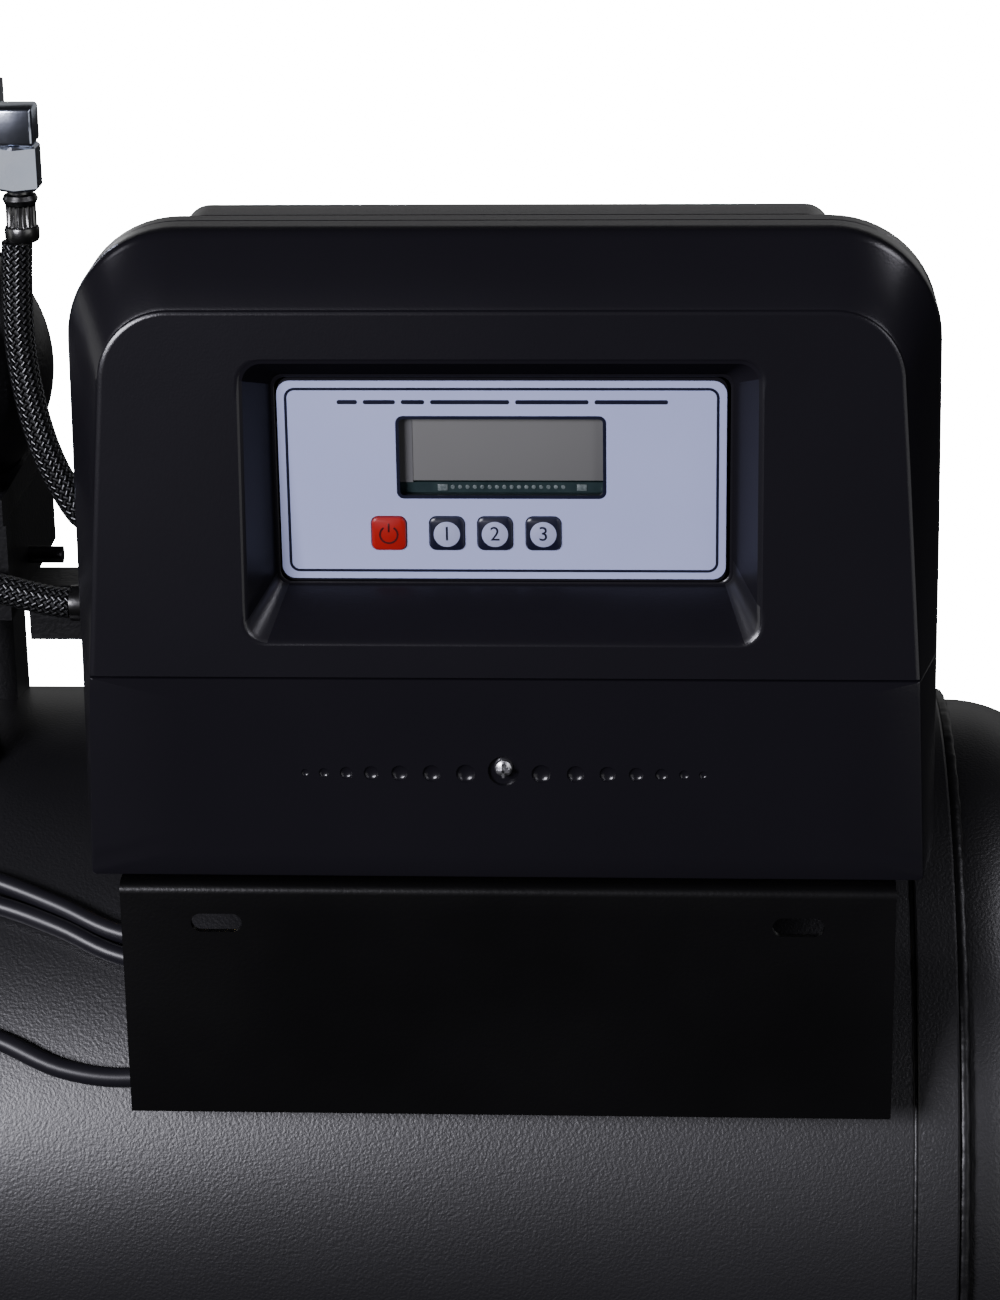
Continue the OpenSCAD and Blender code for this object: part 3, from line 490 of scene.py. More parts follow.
def upper_skin():
    """Outer skin of the upper cover, from the recess's floor out to the seam with the housing."""
    s = Shape()
    arc_args = dict(sides=14, arc=14, tops=10)
    low = SEAM + 0.2
    recess_floor = box_ring(lambda z: 79.0, 100.6, 176.0, 4.0, 4.0, 0, **arc_args)
    recess_edge = box_ring(lambda z: 87.6, 87.4, 184.0, 7.0, 7.0, 0, **arc_args)
    wide_edge = box_ring(lambda z: 88.8, 86.2, 185.2, 8.0, 8.0, 0, **arc_args)
    face = box_ring(face_width, low, FACE_TOP, 24.5, 0.3, 0, **arc_args)
    rim = box_ring(rim_width, low, RIM_TOP, 38.0, 0.3, 0, **arc_args)
    face_in = box_ring(face_width, low, FACE_TOP, 24.5, 0.3, 1.3, low_inset=0.25, **arc_args)
    face_in2 = box_ring(face_width, low, FACE_TOP, 24.5, 0.3, 0.45, low_inset=0.1, **arc_args)
    rim_in = blend_rings(face, rim, 0.90)
    rim_in2 = blend_rings(face, rim, 0.97)

    def wall_y(t):
        return lambda z: FLOOR * (1 - t) + face_y(z) * t

    crease = blend_rings(recess_floor, recess_edge, 0.03)
    near = blend_rings(recess_floor, recess_edge, 0.93)
    edge_mid = blend_rings(recess_edge, wide_edge, 0.35)
    rings = [
        at_box([(x * 0.97, LABEL_Z + (z - LABEL_Z) * 0.97) for x, z in recess_floor], FLOOR),
        at_box(recess_floor, FLOOR),
        at_box(crease, FLOOR - 0.5),
        at_box(near, wall_y(0.94)),
        at_box(edge_mid, lambda z: face_y(z) + 0.35),
        at_box(wide_edge, face_y),
        at_box(blend_rings(wide_edge, face_in, 0.02), face_y),
        at_box(blend_rings(wide_edge, face_in, 0.5), face_y),
        at_box(blend_rings(wide_edge, face_in, 0.98), face_y),
        at_box(face_in, face_y),
        at_box(face_in2, lambda z: face_y(z) + 0.35),
        at_box(face, lambda z: face_y(min(z, FACE_TOP)) + 1.3),
        at_box(blend_rings(face, rim, 0.05), bevel_y(0.07, 0.45)),
        at_box(blend_rings(face, rim, 0.45), bevel_y(0.45, 0.5)),
        at_box(rim_in, bevel_y(0.90)),
        at_box(rim_in2, bevel_y(0.975, 0.3)),
        at_box(rim, 31.6),
        at_box(rim, 38.0),
        at_box(rim, 44.6),
        at_box(box_ring(rim_width, low, RIM_TOP, 38.0, 0.3, 0.4, low_inset=0.0, **arc_args), COVER_BACK),
        at_box(box_ring(rim_width, low, RIM_TOP, 38.0, 0.3, 2.5, low_inset=0.0, **arc_args), COVER_BACK),
    ]
    s.rings(rings)
    # the recess's slopes get the plastic copies that paint light and shade: painted shade on the top slope and
    # the sides, painted highlights on the lower corners; its bottom keeps the box's own gloss
    n = len(recess_floor)
    for r in range(1, 4):
        for k in range(n):
            x, z = recess_edge[k]
            if z > LABEL_Z + 40:
                s.m[r * n + k] = TOP_SLOPE_PAINTED_SHADE
            elif abs(x) > 79 and z > LABEL_Z - 42:
                s.m[r * n + k] = SIDE_SLOPE_PAINTED_SHADE
            elif abs(x) > 81:
                s.m[r * n + k] = LOWER_CORNER_PAINTED_HIGHLIGHT
    return s


def lower_skin():
    """Outer skin of the wiring cover."""
    s = Shape()
    high = SEAM - 0.2
    args = dict(sides=14, arc=4, tops=10)

    def ring(width, inset, top):
        return box_ring(width, 0, high, 0.3, 1.6, inset, low_inset=top, **args)

    def flat(outline, t):
        return [(x * t, high / 2 + (z - high / 2) * t) for x, z in outline]

    face, rim = ring(face_width, 0, 0), ring(rim_width, 0, 0)
    face_in = lower_ring_in(face, 1.2, high)
    face_in2 = lower_ring_in(face, 0.4, high)
    s.rings([at_box(flat(face_in, 0.5), 0.0), at_box(flat(face_in, 0.8), 0.0), at_box(face_in, 0.0),
             at_box(face_in2, 0.35), at_box(face, 1.2), at_box(blend_rings(face, rim, 0.9), 27.0),
             at_box(rim, 31.6), at_box(rim, 44.6), at_box(lower_ring_in(rim, 0.4, high), COVER_BACK),
             at_box(lower_ring_in(rim, 2.4, high), COVER_BACK)], caps=(True, False))
    return s


def lower_ring_in(outline, d, high):
    """The outline moved inwards by d, except at the seam, where it moves by a fifth."""
    return [(x - math.copysign(min(d, abs(x)), x), z + (d if z < 8 else -d * 0.2 if z > high - 8 else 0))
            for x, z in outline]


def thicken(o, mm):
    mod = o.modifiers.new("wall", "SOLIDIFY")
    mod.thickness, mod.offset, mod.use_even_offset = mm * MM, -1, False


def cut_out(o, cutter):
    """Takes the cutter's shape out of a mesh, and removes the cutter."""
    mod = o.modifiers.new("cut", "BOOLEAN")
    mod.operation, mod.object, mod.solver = "DIFFERENCE", cutter, "EXACT"
    dg = bpy.context.evaluated_depsgraph_get()
    result = bpy.data.meshes.new_from_object(o.evaluated_get(dg))
    o.modifiers.clear()
    o.data = result
    bpy.data.objects.remove(cutter)
    o.data.set_sharp_from_angle(angle=math.radians(24))
    for poly in o.data.polygons:
        poly.use_smooth = True


def bare(shape, name):
    """A mesh that only cuts another one."""
    mesh = bpy.data.meshes.new(name)
    mesh.from_pydata([p * MM for p in shape.v], [], shape.f)
    bm = bmesh.new()
    bm.from_mesh(mesh)
    bmesh.ops.recalc_face_normals(bm, faces=bm.faces)
    bm.to_mesh(mesh)
    bm.free()
    o = bpy.data.objects.new(name, mesh)
    bpy.context.scene.collection.objects.link(o)
    return o


KEY_XS = (-39.7, -19.6, -3.0, 13.7)
KEY_Z, KEY = 119.3, 12.0
# middle (x, z), width and height
WINDOW = (-0.6, 146.6, 70.5, 28.0)

# the front cover carries the box plastic and three copies of it that paint shade and highlights in the recess
upper = upper_skin().done("front_cover", ["box", "recess", "slope", "corner"], "box_plastic",
                          ("front_cover",), angle=24)


def holed_plate(outline, holes, y0, y1, name, mats, slot, replaces=()):
    """An upright plate with holes through it, as one triangulated mesh."""
    bm = bmesh.new()
    loops = []
    for ring in [outline] + holes:
        vs = [bm.verts.new(box_point(x, y0, z)) for x, z in ring]
        loops += [bm.edges.new((vs[i], vs[(i + 1) % len(vs)])) for i in range(len(vs))]
    bmesh.ops.triangle_fill(bm, edges=loops, use_beauty=True, use_dissolve=False)
    bmesh.ops.recalc_face_normals(bm, faces=bm.faces)
    ext = bmesh.ops.extrude_face_region(bm, geom=bm.faces[:])
    for v in ext["geom"]:
        if isinstance(v, bmesh.types.BMVert):
            v.co.y += y1 - y0
    s = Shape()
    indexed(bm)
    s.add([v.co.copy() for v in bm.verts], [[v.index for v in f.verts] for f in bm.faces])
    bm.free()
    return s.done(name, mats, slot, replaces, angle=30, weld=0.001)


def ring_band(outline, width, y0, y1, name, mat, slot):
    """A thin printed line that follows an outline."""
    s = Shape()
    inner = shrink(outline, width)
    s.rings([[box_point(x, y, z) for x, z in o] for y, o in
             ((y1, outline), (y0, outline), (y0, inner), (y1, inner), (y1, outline))])
    return s.done(name, [mat], slot)


holes = [rounded(KEY + 0.7, KEY + 0.7, 2.7, x, KEY_Z, 5)[::-1] for x in KEY_XS]
window_hole = rounded(WINDOW[2], WINDOW[3], 2.0, WINDOW[0], WINDOW[1], 5)[::-1]
holed_plate(rounded(155.6, 73.6, 3.9, 0, LABEL_Z), holes + [window_hole],
            FLOOR, FLOOR + 2.4, "recess_floor", ["box"], "box_plastic")
label_holes = [rounded(KEY + 0.5, KEY + 0.5, 2.6, x, KEY_Z, 5)[::-1] for x in KEY_XS]
holed_plate(rounded(153.5, 71, 4.6, -0.3, LABEL_Z, 10), label_holes + [window_hole],
            FLOOR - 0.6, FLOOR - 0.02, "panel_label", ["label"], "label_film", ("panel_label",))
ring_band(rounded(148.5, 66.2, 3.6, -0.3, LABEL_Z, 10), 0.95, FLOOR - 0.66, FLOOR - 0.55,
          "label_border", "navy", "label_film")
ring_band(rounded(72.1, 29.6, 2.6, WINDOW[0], WINDOW[1], 8), 1.15, FLOOR - 0.68, FLOOR - 0.5,
          "window_frame", "navy", "label_film")

# a printed row of plain marks along the label's top
marks = Shape()
for x, width in ((-56.5, 7), (-47.5, 11), (-34.5, 8), (-24.5, 27), (4.5, 25), (31.5, 25)):
    marks.plate([(x + px, z) for px, z in rounded(width, 1.5, 0.7, width / 2, 166.3, 4)],
                BOX.y + FLOOR - 0.66, BOX.y + FLOOR - 0.55, 0, 0.02, (BOX.x, 0, BOX.z))
marks.done("label_marks", ["navy"], "label_film")

lower = lower_skin().done("wiring_cover", ["box"], "box_plastic", ("wiring_cover",), angle=24)
thicken(upper, WALL)
thicken(lower, WALL)

# the screw's pocket, and the dimples on both sides of it
pits = Shape()
pits.lathe([(-3, 5.6), (1.7, 5.4), (1.7, 0.01)], box_point(0, 0, 40.5), "Y", 40, caps=(True, False))
PIT_XS = (13.1, 25, 36.1, 46, 54.7, 62.5, 69)
PIT_DS = (6.8, 6.2, 5.8, 5.2, 4.5, 3.5, 2.8)
PIT_DEPTH = 0.22
for x, d in zip(PIT_XS, PIT_DS):
    for side in (-1, 1):
        deep = PIT_DEPTH * d
        ball = [(-1.0, d / 2)] + [(deep * math.sin(math.radians(a)), d / 2 * math.cos(math.radians(a)))
                                  for a in range(0, 90, 12)] + [(deep, 0.01)]
        pits.lathe(ball, box_point(side * x, 0, 39.5), "Y", 24, caps=(True, False))
cut_out(lower, bare(pits, "pits"))

# cross-headed screw
screw = Shape()
screw.lathe([(20, 1.9), (-0.2, 1.9), (-0.2, 3.25), (-0.9, 3.2), (-1.7, 2.75), (-2.25, 1.9), (-2.5, 0.9),
             (-2.55, 0.01)],
            box_point(0, 1.9, 41.4), "Y", 40)
head = screw.done("cover_screw", ["screw"], "zinc", ("cover_screw",), angle=50)
cross = Shape()
for a, b in ((2.2, 0.42), (0.42, 2.2)):
    cross.block(box_point(-a, -3, 41.4 - b), box_point(a, 0.1, 41.4 + b), edge=0)
cut_out(head, bare(cross, "cross"))

# rear housing: the wide flange behind the seam, then the narrow body
housing = Shape()
flange = [box_ring(rim_width, 0, RIM_TOP, 38.0, 4.5, i) for i in (2.5, 0.4, 0.0, 0.0, 0.6, 2.0)]
depths = (45.3, 45.3, 45.7, 52.6, 53.6, 54.0)
housing.rings([at_box(o, y) for o, y in zip(flange, depths)], caps=(False, False))
core = [box_ring(lambda z: 112.0, 4.0, t, r, 3.0, i) for t, r, i in
        ((224.4, 9, 0), (224.4, 9, 0), (224.3, 9, 0), (210, 9, 0), (196, 9, 0), (196, 9, 2))]
housing.rings([at_box(flange[-1], 54.0), at_box(core[0], 54.0)])
housing.rings([at_box(o, y) for o, y in zip(core, (54.0, 60, 70, 84, 96.5, 98))], caps=(False, True))
housing.done("rear_housing", ["box"], "box_plastic", ("rear_housing",), angle=30, weld=0.01)

# display: glass, its frame, and the edge of the circuit board that shows below it
wx, wz = WINDOW[:2]
display = Shape()
y0 = FLOOR + 3.0
display.block(box_point(wx - 34.5, y0 + 0.3, wz - 9.5), box_point(wx + 37, y0 + 3.2, wz + 15.5), 0, 0.2)
display.block(box_point(wx - 40, y0 + 3.6, wz - 19), box_point(wx + 40, y0 + 5.2, wz + 17), 2, 0)
display.block(box_point(wx - 35.2, y0 + 0.1, wz - 10), box_point(wx - 30.6, y0 + 0.5, wz + 15), 1, 0)
display.block(box_point(wx - 35.2, y0 + 0.8, wz - 13.9), box_point(wx + 35.2, y0 + 3.4, wz - 10.2), 2, 0)
for k in range(16):
    x = wx - 17 + k * 2.54
    display.solid(0.55, 0.95, 0.75, box_point(x, y0, wz - 11.9), "Y", 10, 3, 0.1)
for x in (-20.5, 27.5):
    display.block(box_point(wx + x - 1.7, y0 + 0.5, wz - 13.2),
                  box_point(wx + x + 1.7, y0 + 0.9, wz - 10.9), 3, 0.1)
display.done("display_module", ["lcd", "lcd_edge", "pcb", "solder"], "display_glass", ("display_module",),
             angle=30)


def numeral(ch, size, x, z, y):
    """Outline of one figure as flat polygons, in the key's plane."""
    data = bpy.data.curves.new("figure", "FONT")
    data.body, data.size, data.extrude = ch, size, 0.05
    data.align_x, data.align_y = "CENTER", "CENTER"
    o = bpy.data.objects.new("figure", data)
    bpy.context.scene.collection.objects.link(o)
    dg = bpy.context.evaluated_depsgraph_get()
    mesh = bpy.data.meshes.new_from_object(o.evaluated_get(dg))
    verts = [box_point(x + v.co.x, y - v.co.z, z + v.co.y) for v in mesh.vertices]
    faces = [list(p.vertices) for p in mesh.polygons]
    bpy.data.objects.remove(o)
    return verts, faces


FRONT = FLOOR - 1.9
for i, x in enumerate(KEY_XS):
    node = "power_button" if i == 0 else "select_button_%d" % i
    body = "power_key" if i == 0 else "key_%d" % i
    key = Shape()
    outer = rounded(KEY, KEY, 2.4, x, KEY_Z, 8)
    rings = [(FLOOR + 3, outer), (FRONT + 0.9, outer), (FRONT + 0.35, shrink(outer, 0.22)),
             (FRONT, shrink(outer, 0.9))]
    key.rings([[box_point(px, y, pz) for px, pz in o] for y, o in rings], caps=(True, True))
    key.block(box_point(x - 7.5, FLOOR + 3, KEY_Z - 7.5), box_point(x + 7.5, FLOOR + 4, KEY_Z + 7.5), 0, 0.2)
    if i:
        key.solid(-0.10, 0.05, 4.55, box_point(x, FRONT, KEY_Z), "Y", 40, 1, 0.04)
        verts, faces = numeral(str(i), 7.2, x, KEY_Z, FRONT - 0.14)
        key.add(verts, faces, 2)
        key.done(node, ["navy", "key_disc", "navy"], "navy_key", (node,), body=body, angle=30)
    else:
        ring_r, line, c = 3.05, 0.32, box_point(x, FRONT, KEY_Z - 0.2)
        steps = [math.radians(35 + 290 * k / 30 + 90) for k in range(31)]
        rows = [[c + Vector((r * math.cos(a), y, r * math.sin(a))) for r, y in
                 ((ring_r - line, 0.05), (ring_r - line, -0.07), (ring_r + line, -0.07), (ring_r + line, 0.05))]
                for a in steps]
        key.rings(rows, 1, caps=(True, True))
        key.block(c + Vector((-line, -0.07, 0.9)), c + Vector((line, 0.05, 4.1)), 1, 0.03)
        key.done(node, ["red", "dark_red"], "red_key", (node,), body=body, angle=30)

# folded plate in front of the tank, with its shelf
PLATE_HALF = 136.75


def bend(r, degrees):
    """The fold's arc, seen from the side."""
    return [(6 - r * math.cos(math.radians(a)), -8 + r * math.sin(math.radians(a))) for a in degrees]


plate = Shape()
profile = [(2.0, -94.0), (2.0, -8.0)] + bend(4, range(15, 91, 15))
profile += [(96, -4), (96, -6.5), (6, -6.5)] + bend(1.5, range(75, -1, -15)) + [(4.5, -94.0)]
rows = [[box_point(x, y, z) for y, z in profile] for x in (-PLATE_HALF, PLATE_HALF)]
plate.rings(rows, caps=(True, True))
for s in (-1, 1):
    x0, x1 = sorted((s * 121, s * 125))
    side = [(74, -6.5), (92, -6.5), (92, -79), (88.5, -79), (74, -59)]
    plate.rings([[box_point(x, y, z) for y, z in side] for x in (x0, x1)], caps=(True, True))
    plate.solid(-5, 0, 7, box_point(s * 110, 24, 0), "Z", 24)
    plate.solid(-5, 4, 7, box_point(s * 98, 82, 0), "Z", 24)
side = [(30, -6.5), (92, -6.5), (92, -80), (90, -80), (60, -50), (40, -31), (30, -18)]
plate.rings([[box_point(x, y, z) for y, z in side] for x in (14, 18)], caps=(True, True))
bracket = plate.done("control_bracket", ["plate"], "bracket_paint", ("control_bracket",), angle=30)
slots = Shape()
for s in (-1, 1):
    o = rounded(18.2, 7.0, 3.49, s * 102.8, -19, 8)
    slots.rings([[box_point(x, y, z) for x, z in o] for y in (-3, 8)], caps=(True, True))
slots.block(box_point(-84, 56, -12), box_point(-15, 84, 0), edge=0)
cut_out(bracket, bare(slots, "slots"))
bracket.data.set_sharp_from_angle(angle=math.radians(30))

# ------------------------------------------------------------------ tank

R, WELD_R, WELD_L, HEAD = 175.0, 577.0, -521.0, 88.0
tank = Shape()
tank.lathe([(x, R) for x in (WELD_L - 2, WELD_L + 300, 0, WELD_R - 300, WELD_R + 2)], (0, 0, TANK_Z), "X", 256)
for bx, by in ((280, -37), (443.5, 20), (-262, -66)):
    top = math.sqrt(R * R - by * by)
    tank.lathe([(top - 9, 15), (top + 0.6, 14.6), (top + 2.2, 13), (top + 5, 13), (top + 5, 6)],
               (bx, by, TANK_Z), "Z", 32, 1)
tank.lathe([(-R + 5, 13), (-R - 1.5, 13), (-R - 6, 12), (-R - 6, 5)], (0, 0, TANK_Z), "Z", 32, 1)
tank.done("tank_shell", ["tank", "weld"], "tank_paint", ("tank_shell",), angle=40)


def head_profile():
    """Dished end: a wide dome on a tighter knuckle, from the weld outwards."""
    knuckle, inset = 62.0, 3.5
    rr = R - inset
    pts = [(0.0, rr - 0.4), (4.0, rr)]
    crown_r = 300.0
    # the knuckle turns until it meets the crown
    kx, kr = 8.0, rr - knuckle
    dome_x = kx - math.sqrt((crown_r - knuckle) ** 2 - kr ** 2)
    reach = math.atan2(kr, kx - dome_x)
    for k in range(0, 17):
        a = math.radians(90) - (math.radians(90) - reach) * k / 16
        pts.append((kx + knuckle * math.cos(a), kr + knuckle * math.sin(a)))
    for k in range(1, 15):
        a = reach * (1 - k / 14)
        pts.append((dome_x + crown_r * math.cos(a), max(0.02, crown_r * math.sin(a))))
    far = pts[-1][0]
    return [(x * HEAD / far if x > 8 else x, r) for x, r in pts]


def bead(x, r, n=360, width=2.3, seed=3):
    """Ripples of a machine weld round the tank."""
    rng = random.Random(seed)
    rings = []
    wobble = [rng.uniform(-0.25, 0.25) for _ in range(n)]
    for j in range(9):
        t = j / 8 * math.pi
        ring = []
        for k in range(n):
            a = 2 * math.pi * k / n
            h = 1.5 + 0.30 * math.cos(a * 150) + wobble[k] * 0.6
            rr = r - 0.8 + h * math.sin(t)
            xx = x - width * math.cos(t) * (1 + 0.08 * math.cos(a * 75)) + wobble[(k * 7) % n] * 0.3
            ring.append(Vector((xx, rr * math.cos(a), TANK_Z + rr * math.sin(a))))
        rings.append(ring)
    return rings


for name, at, sign in (("tank_head_right", WELD_R, 1), ("tank_head_left", WELD_L, -1)):
    end = Shape()
    end.lathe([(at + sign * x, r) for x, r in head_profile()], (0, 0, TANK_Z), "X", 192)
    band = [(-15, R - 1), (-15, R + 2.0), (-14.4, R + 2.5), (-8, R + 2.6), (-0.6, R + 2.5), (0.2, R + 2.0),
            (0.2, R - 4)]
    end.lathe([(at + sign * x, r) for x, r in band], (0, 0, TANK_Z), "X", 192)
    end.rings(bead(at + sign * 2.2, R + 0.2), 1)
    end.rings(bead(at - sign * 15.6, R + 0.2, width=1.3, seed=5), 1)
    end.done(name, ["tank", "weld"], "tank_paint", (name,), angle=28)

# ------------------------------------------------------------------ pumps

for i, px in enumerate(PUMP_XS):
    motor = Shape()
    c = (px, 0, PUMP_Z)
    motor.lathe([(-42, 40), (-42, 44.6), (-41, 45), (-30, 45), (30, 45), (41, 45), (42, 44.6), (42, 40)],
                c, "X", 96)
    for x in (-36, 36):
        motor.lathe([(x - 3, 45), (x - 2.4, 45.5), (x + 2.4, 45.5), (x + 3, 45)], c, "X", 96)
    motor.block((px - 16, -46, PUMP_Z - 22), (px + 16, -34, PUMP_Z + 2), 0, 1.5)
    motor.done("pump_%d_motor" % (i + 1), ["pump"], "pump_paint", ("pump_%d_motor" % (i + 1),), angle=30)

DOME_R = 55
covers, filters = Shape(), Shape()
for px in PUMP_XS:
    for side in (-1, 1):
        dome = [(-0.2, 51.0), (0.6, 51.6)]
        dome += [(DOME_R * math.sin(math.radians(a)) - 19, DOME_R * math.cos(math.radians(a)))
                 for a in range(21, 90, 4)]
        dome.append((36, 0.02))
        covers.lathe([(side * (84 + x), r) for x, r in dome], (px, 0, PUMP_Z), "X", 64, 0)
        for k in range(4):
            a = math.radians(45 + 90 * k)
            p = Vector((px + side * 92, 46.5 * math.cos(a), PUMP_Z + 46.5 * math.sin(a)))
            covers.solid(-2, 8, 4.6, p, "X", 16, 0)
            covers.solid(*sorted((side * 8, side * 10.5)), 3.4, p, "X", 16, 1)
        cx = px + side * 63
        z = PUMP_Z + 112
        filters.lathe([(z, 8), (z + 5, 8), (z + 5, 16.5), (z + 6.5, 18), (z + 11, 18), (z + 11.6, 17.2),
                       (z + 13.4, 17.2), (z + 14, 18), (z + 24, 18), (z + 27, 14.5), (z + 27, 0.02)],
                      (cx, 0, 0), "Z", 40)
covers.done("fan_covers", ["pump", "dark_steel"], "black_plastic", ("fan_covers",), angle=30)
filters.done("intake_filters", ["black"], "black_plastic", ("intake_filters",), angle=30)

# ------------------------------------------------------------------ fittings, hoses and leads

FERRULE_TOP = PUMP_Z + 78.3
NUT_ACROSS, NUT_TURN = 15.6, 27
FERRULE_R, KNURL_SIDES = 5.75, 80


def up_from(z):
    return TANK_Z + z


def ring_at(x, y, z, radii, turn=0.0):
    """Level ring of points round (x, y), one for each radius."""
    angles = [2 * math.pi * k / len(radii) + math.radians(turn) for k in range(len(radii))]
    return [Vector((x + r * math.cos(a), y + r * math.sin(a), z)) for r, a in zip(radii, angles)]


fittings = Shape()
for px in PUMP_XS:
    x, y = px + 118.5, -35.0
    c = (x, y, 0)
    fittings.lathe([(-17.5, 5.5), (-6, 5.5)], (x, y, PUMP_Z + 102), "X", 24, 0, (True, True))
    fittings.block((x - 7.5, y - 7.5, PUMP_Z + 95.5), (x + 7.5, y + 7.5, PUMP_Z + 110), 0, 1.6, 3)
    t = FERRULE_TOP
    hexa = [ring_at(x, y, t + up, [NUT_ACROSS / math.sqrt(3) - e] * 6, NUT_TURN)
            for up, e in ((0, 1.0), (1.1, 0), (16.1, 0), (17.2, 1.0))]
    fittings.rings(hexa, 0, caps=(True, True))
    tilt = [(t, 4.6), (t - 1.4, 4.6), (t - 2.0, 6.0), (t - 3.6, 6.7), (t - 5.2, 6.0), (t - 5.8, 5.4)]
    fittings.lathe(tilt, c, "Z", 40, 1)
    fittings.rings([ring_at(x, y, t - down, [FERRULE_R - depth * (k % 4 > 1) for k in range(KNURL_SIDES)])
                    for down, depth in ((5.8, 0.0), (6.3, 0.5), (13.2, 0.5), (13.8, 0.0))], 1)
    fittings.lathe([(t - 13.8, 5.6), (t - 14.2, 6.3), (t - 15.2, 6.6), (t - 18.4, 6.5), (t - 19.4, 6.1),
                    (t - 19.8, 5.5)], c, "Z", 40, 1)
fittings.lathe([(up_from(263), 5.2), (up_from(262.4), 6.4), (up_from(248), 6.4), (up_from(247), 6.4)],
               (251, -37, 0), "Z", 32, 1)
fittings.lathe([(243, 5.4), (243.2, 6.8), (249, 7.0), (250, 6.6), (252, 6.6)],
               (0, -62, up_from(245)), "X", 32, 1)
fittings.lathe([(up_from(196), 7.4), (up_from(212), 7.4), (up_from(214), 6.0)], (-262, -66, 0), "Z", 32, 1)
fittings.done("air_fittings", ["steel", "dark_steel"], "zinc", ("air_fittings",), angle=30)

HOSE_R, LEAD_R, BRAID_PITCH = 5.8, 3.7, 2.7
HOSES = {
    "air_hose_3": [(225.8, -35, 378.6), (224.8, -35, 362.5), (224.5, -35, 340.4), (227, -35, 317.6),
                   (231.6, -35, 298.1), (237.5, -35.5, 284), (244, -36.5, 273), (250.6, -37, 267.5),
                   (251, -37, 263.6)],
    "air_hose_2": [(-22, -35, 378.6), (-22, -35, 352), (-20, -42, 322), (-15, -52, 300), (-6, -60, 282),
                   (15, -64, 265), (50, -66, 254), (100, -67, 252), (150, -67, 254), (190, -64, 254),
                   (214, -62, 251), (226, -62, 248), (236, -62, 245.6), (242.6, -62, 245)],
    "air_hose_1": [(-272, -35, 378.6), (-272.3, -35, 362.5), (-271, -38, 340), (-267.5, -45, 316),
                   (-264.5, -53, 298), (-262.8, -60, 283), (-262, -64, 262), (-262, -66, 240),
                   (-262, -66, 224), (-262, -66, 214.6)],
}
LEADS = [
    [(109.5, -46, 306), (110, -62, 305), (113, -76, 292), (121, -82, 262), (135, -82, 222),
     (156, -85, 176), (186, -94, 153), (217, -103, 147), (241, -111, 141), (265, -119.5, 134),
     (296, -123, 131), (322, -120, 134.5), (336, -117, 143), (342, -115, 155), (343, -115, 165)],
    [(-140.5, -46, 306), (-140, -60, 303), (-136, -72, 290), (-120, -76, 262),
     (-90, -80, 215), (-45, -85, 170), (10, -90, 155.3), (80, -96, 151.7), (150, -101, 148.4),
     (190, -106, 144.8), (218, -111, 141), (242, -118, 135.3), (266, -126, 127.8), (300, -130, 124),
     (334, -126, 128), (352, -119, 138), (362, -115.5, 153), (364, -115, 165)],
    [(-390.5, -46, 306), (-390, -60, 303), (-386, -72, 290), (-370, -78, 262),
     (-335, -86, 212), (-290, -98, 158), (-220, -110, 141.8), (-120, -119, 134.2), (-20, -127, 126.7),
     (80, -134, 119.3), (160, -139.5, 112.8), (200, -143.5, 107.6), (222, -147, 102.6),
     (246, -152.5, 94), (272, -154, 91.5), (304, -151, 96.2), (340, -143, 108),
     (366, -130, 125), (381, -119, 145), (385, -115.5, 156), (385, -115, 165)],
]


def lifted(route):
    """A route stated above the tank's axis, raised to its place."""
    return [Vector((x, y, TANK_Z + z)) for x, y, z in route]


for name, route in HOSES.items():
    hose = Shape()
    hose.tube(lifted(route), HOSE_R, 32, uv_pitch=BRAID_PITCH, strands=14)
    hose.done(name, ["braid"], "steel_braid", (name,), angle=60)
leads = Shape()
for route in LEADS:
    leads.tube(lifted(route), LEAD_R, 20)
leads.done("motor_leads", ["cable"], "black_rubber", ("motor_leads",), angle=60)

# ------------------------------------------------------------------ CAD nodes shown as they are

AS_BUILT = {
    "tank": ("pump_legs", "tank_feet", "handle_bar"),
    "pump": ("pump_cradles", "inlet_manifold", "pump_1_crankcases", "pump_2_crankcases", "pump_3_crankcases"),
    "cast": ("cylinders", "cylinder_heads", "pistons"),
    "steel": ("axle", "pump_screws", "safety_ring", "outlet_block", "outlet_valve",
              "pump_1_rotor", "pump_2_rotor", "pump_3_rotor"),
    "brass": ("drain_valve", "check_valves", "safety_valve"),
    "rubber": ("rubber_feet", "handle_grip", "isolators"), "tyre": ("tyre_front", "tyre_back"),
    "black": ("wheel_front", "wheel_back", "cable_glands", "pressure_gauge"),
    "red_plastic": ("drain_knob", "gauge_needle", "outlet_lever"),
    "pcb": ("control_board",), "blue": ("power_relays",),
}
for mat, names in AS_BUILT.items():
    for name in names:
        o = frame["nodes"][name]
        for part in [o] + list(o.children):
            if part.type == "MESH":
                for place in part.material_slots:
                    place.material = M[mat]

# ------------------------------------------------------------------ lights and stage


def area(name, place, size, power, aim=(0.41, -0.1, 0.5), tint=(0.99, 0.975, 1.08)):
    data = bpy.data.lights.new(name, "AREA")
    data.shape, data.size, data.size_y = "RECTANGLE", size[0], size[1]
    data.energy, data.color = power, tint
    o = bpy.data.objects.new(name, data)
    bpy.context.scene.collection.objects.link(o)
    o.location = place
    o.rotation_euler = (Vector(aim) - Vector(place)).to_track_quat("-Z", "Y").to_euler()
    return o


area("key_light", (-0.82, -2.02, 1.27), (0.9, 0.6), 66)
area("fill_light", (1.9, -2.0, 1.5), (0.7, 0.9), 7)
area("right_light", (1.65, -0.2, 1.9), (0.5, 0.5), 6)
area("left_light", (-0.95, -0.15, 1.85), (0.4, 0.4), 1.5)

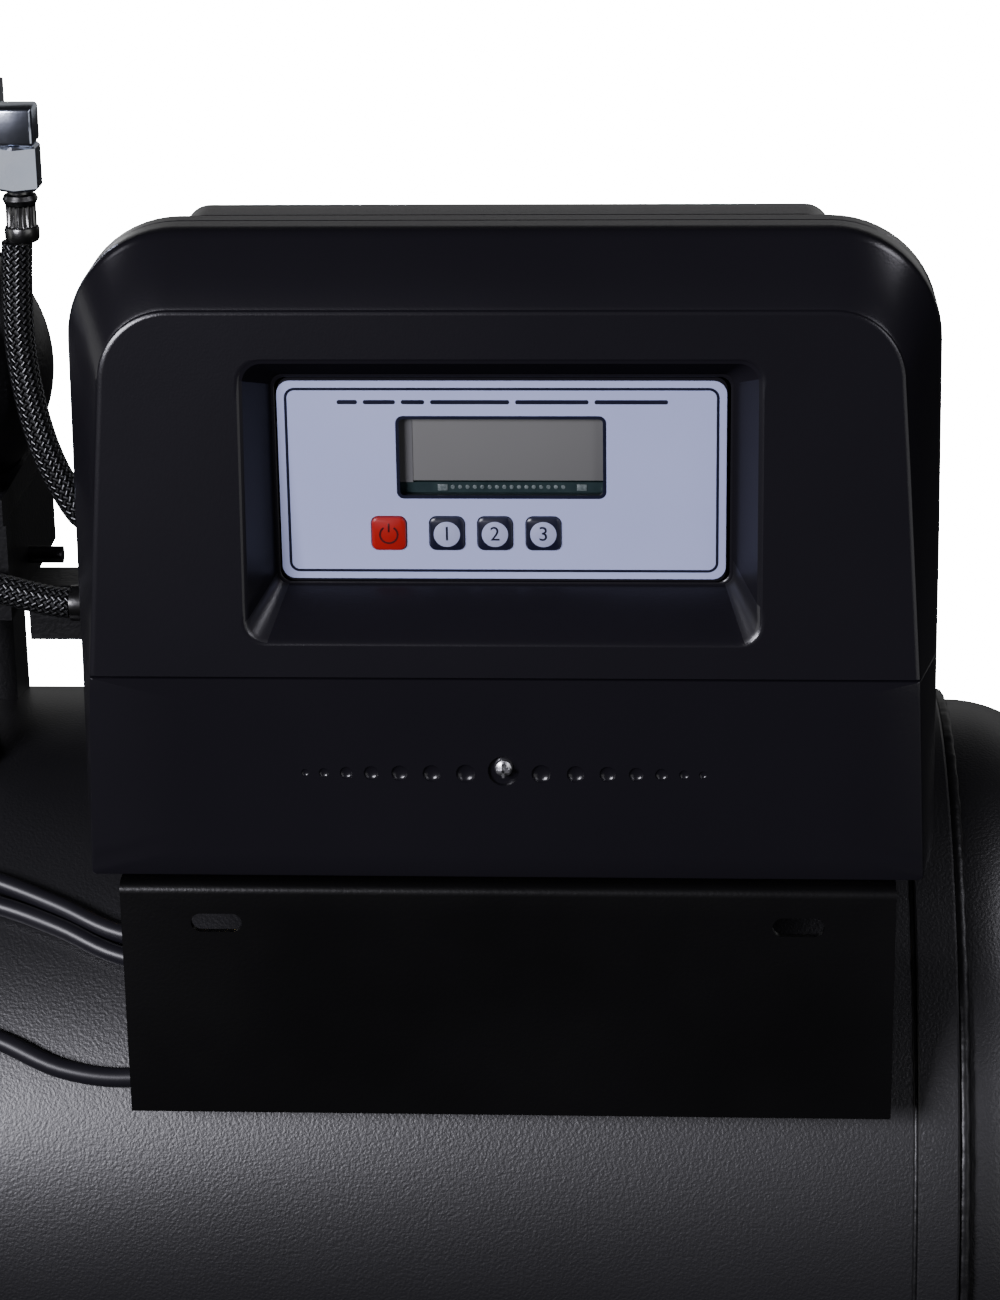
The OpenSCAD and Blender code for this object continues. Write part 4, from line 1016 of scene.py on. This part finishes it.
# the camera sees white all round; the pieces see a dark room
world = bpy.data.worlds.new("studio")
bpy.context.scene.world = world
world.use_nodes = True
wt = world.node_tree
room = wt.nodes["Background"]
room.inputs["Color"].default_value = (0.5, 0.5, 0.52, 1)
room.inputs["Strength"].default_value = 0.03
paper = wt.nodes.new("ShaderNodeBackground")
paper.inputs["Strength"].default_value = 30
chosen = wt.nodes.new("ShaderNodeMixShader")
ray = wt.nodes.new("ShaderNodeLightPath")
wt.links.new(ray.outputs["Is Camera Ray"], chosen.inputs["Fac"])
wt.links.new(room.outputs["Background"], chosen.inputs[1])
wt.links.new(paper.outputs["Background"], chosen.inputs[2])
wt.links.new(chosen.outputs["Shader"], wt.nodes["World Output"].inputs["Surface"])


def sheet(name, corners, strength):
    """A white sheet that glows evenly. It lights the pieces, and the camera doesn't see it."""
    mesh = bpy.data.meshes.new(name)
    mesh.from_pydata(corners, [], [(0, 1, 2, 3)])
    m = bpy.data.materials.new(name)
    m.use_nodes = True
    s = m.node_tree.nodes["Principled BSDF"]
    s.inputs["Base Color"].default_value = (0, 0, 0, 1)
    s.inputs["Specular IOR Level"].default_value = 0
    s.inputs["Emission Color"].default_value = (1, 1, 1, 1)
    s.inputs["Emission Strength"].default_value = strength
    mesh.materials.append(m)
    o = bpy.data.objects.new(name, mesh)
    bpy.context.scene.collection.objects.link(o)
    o.visible_shadow = False
    o.visible_camera = False
    return o


sheet("white_wall", [(-3, 3.0, 0.2), (4, 3.0, 0.2), (4, 3.0, 1.55), (-3, 3.0, 1.55)], 0.33)
sheet("left_card", [(-1.6, -1.0, 0.0), (-1.6, 0.6, 0.0), (-1.6, 0.6, 1.1), (-1.6, -1.0, 1.1)], 0.9)
sheet("right_card", [(1.3, -2.0, 0.0), (2.1, -1.2, 0.0), (2.1, -1.2, 0.75), (1.3, -2.0, 0.75)], 0.9)
# a small card that the front facet of pump 3's nut mirrors
sheet("nut_card", [(0.285, -0.060, 0.640), (0.262, -0.094, 0.640),
                   (0.262, -0.094, 0.672), (0.285, -0.060, 0.672)], 0.9)
sheet("back_floor", [(-2.2, 0.8, 0.002), (-0.3, 0.8, 0.002), (-0.3, 2.9, 0.002), (-2.2, 2.9, 0.002)], 0.10)
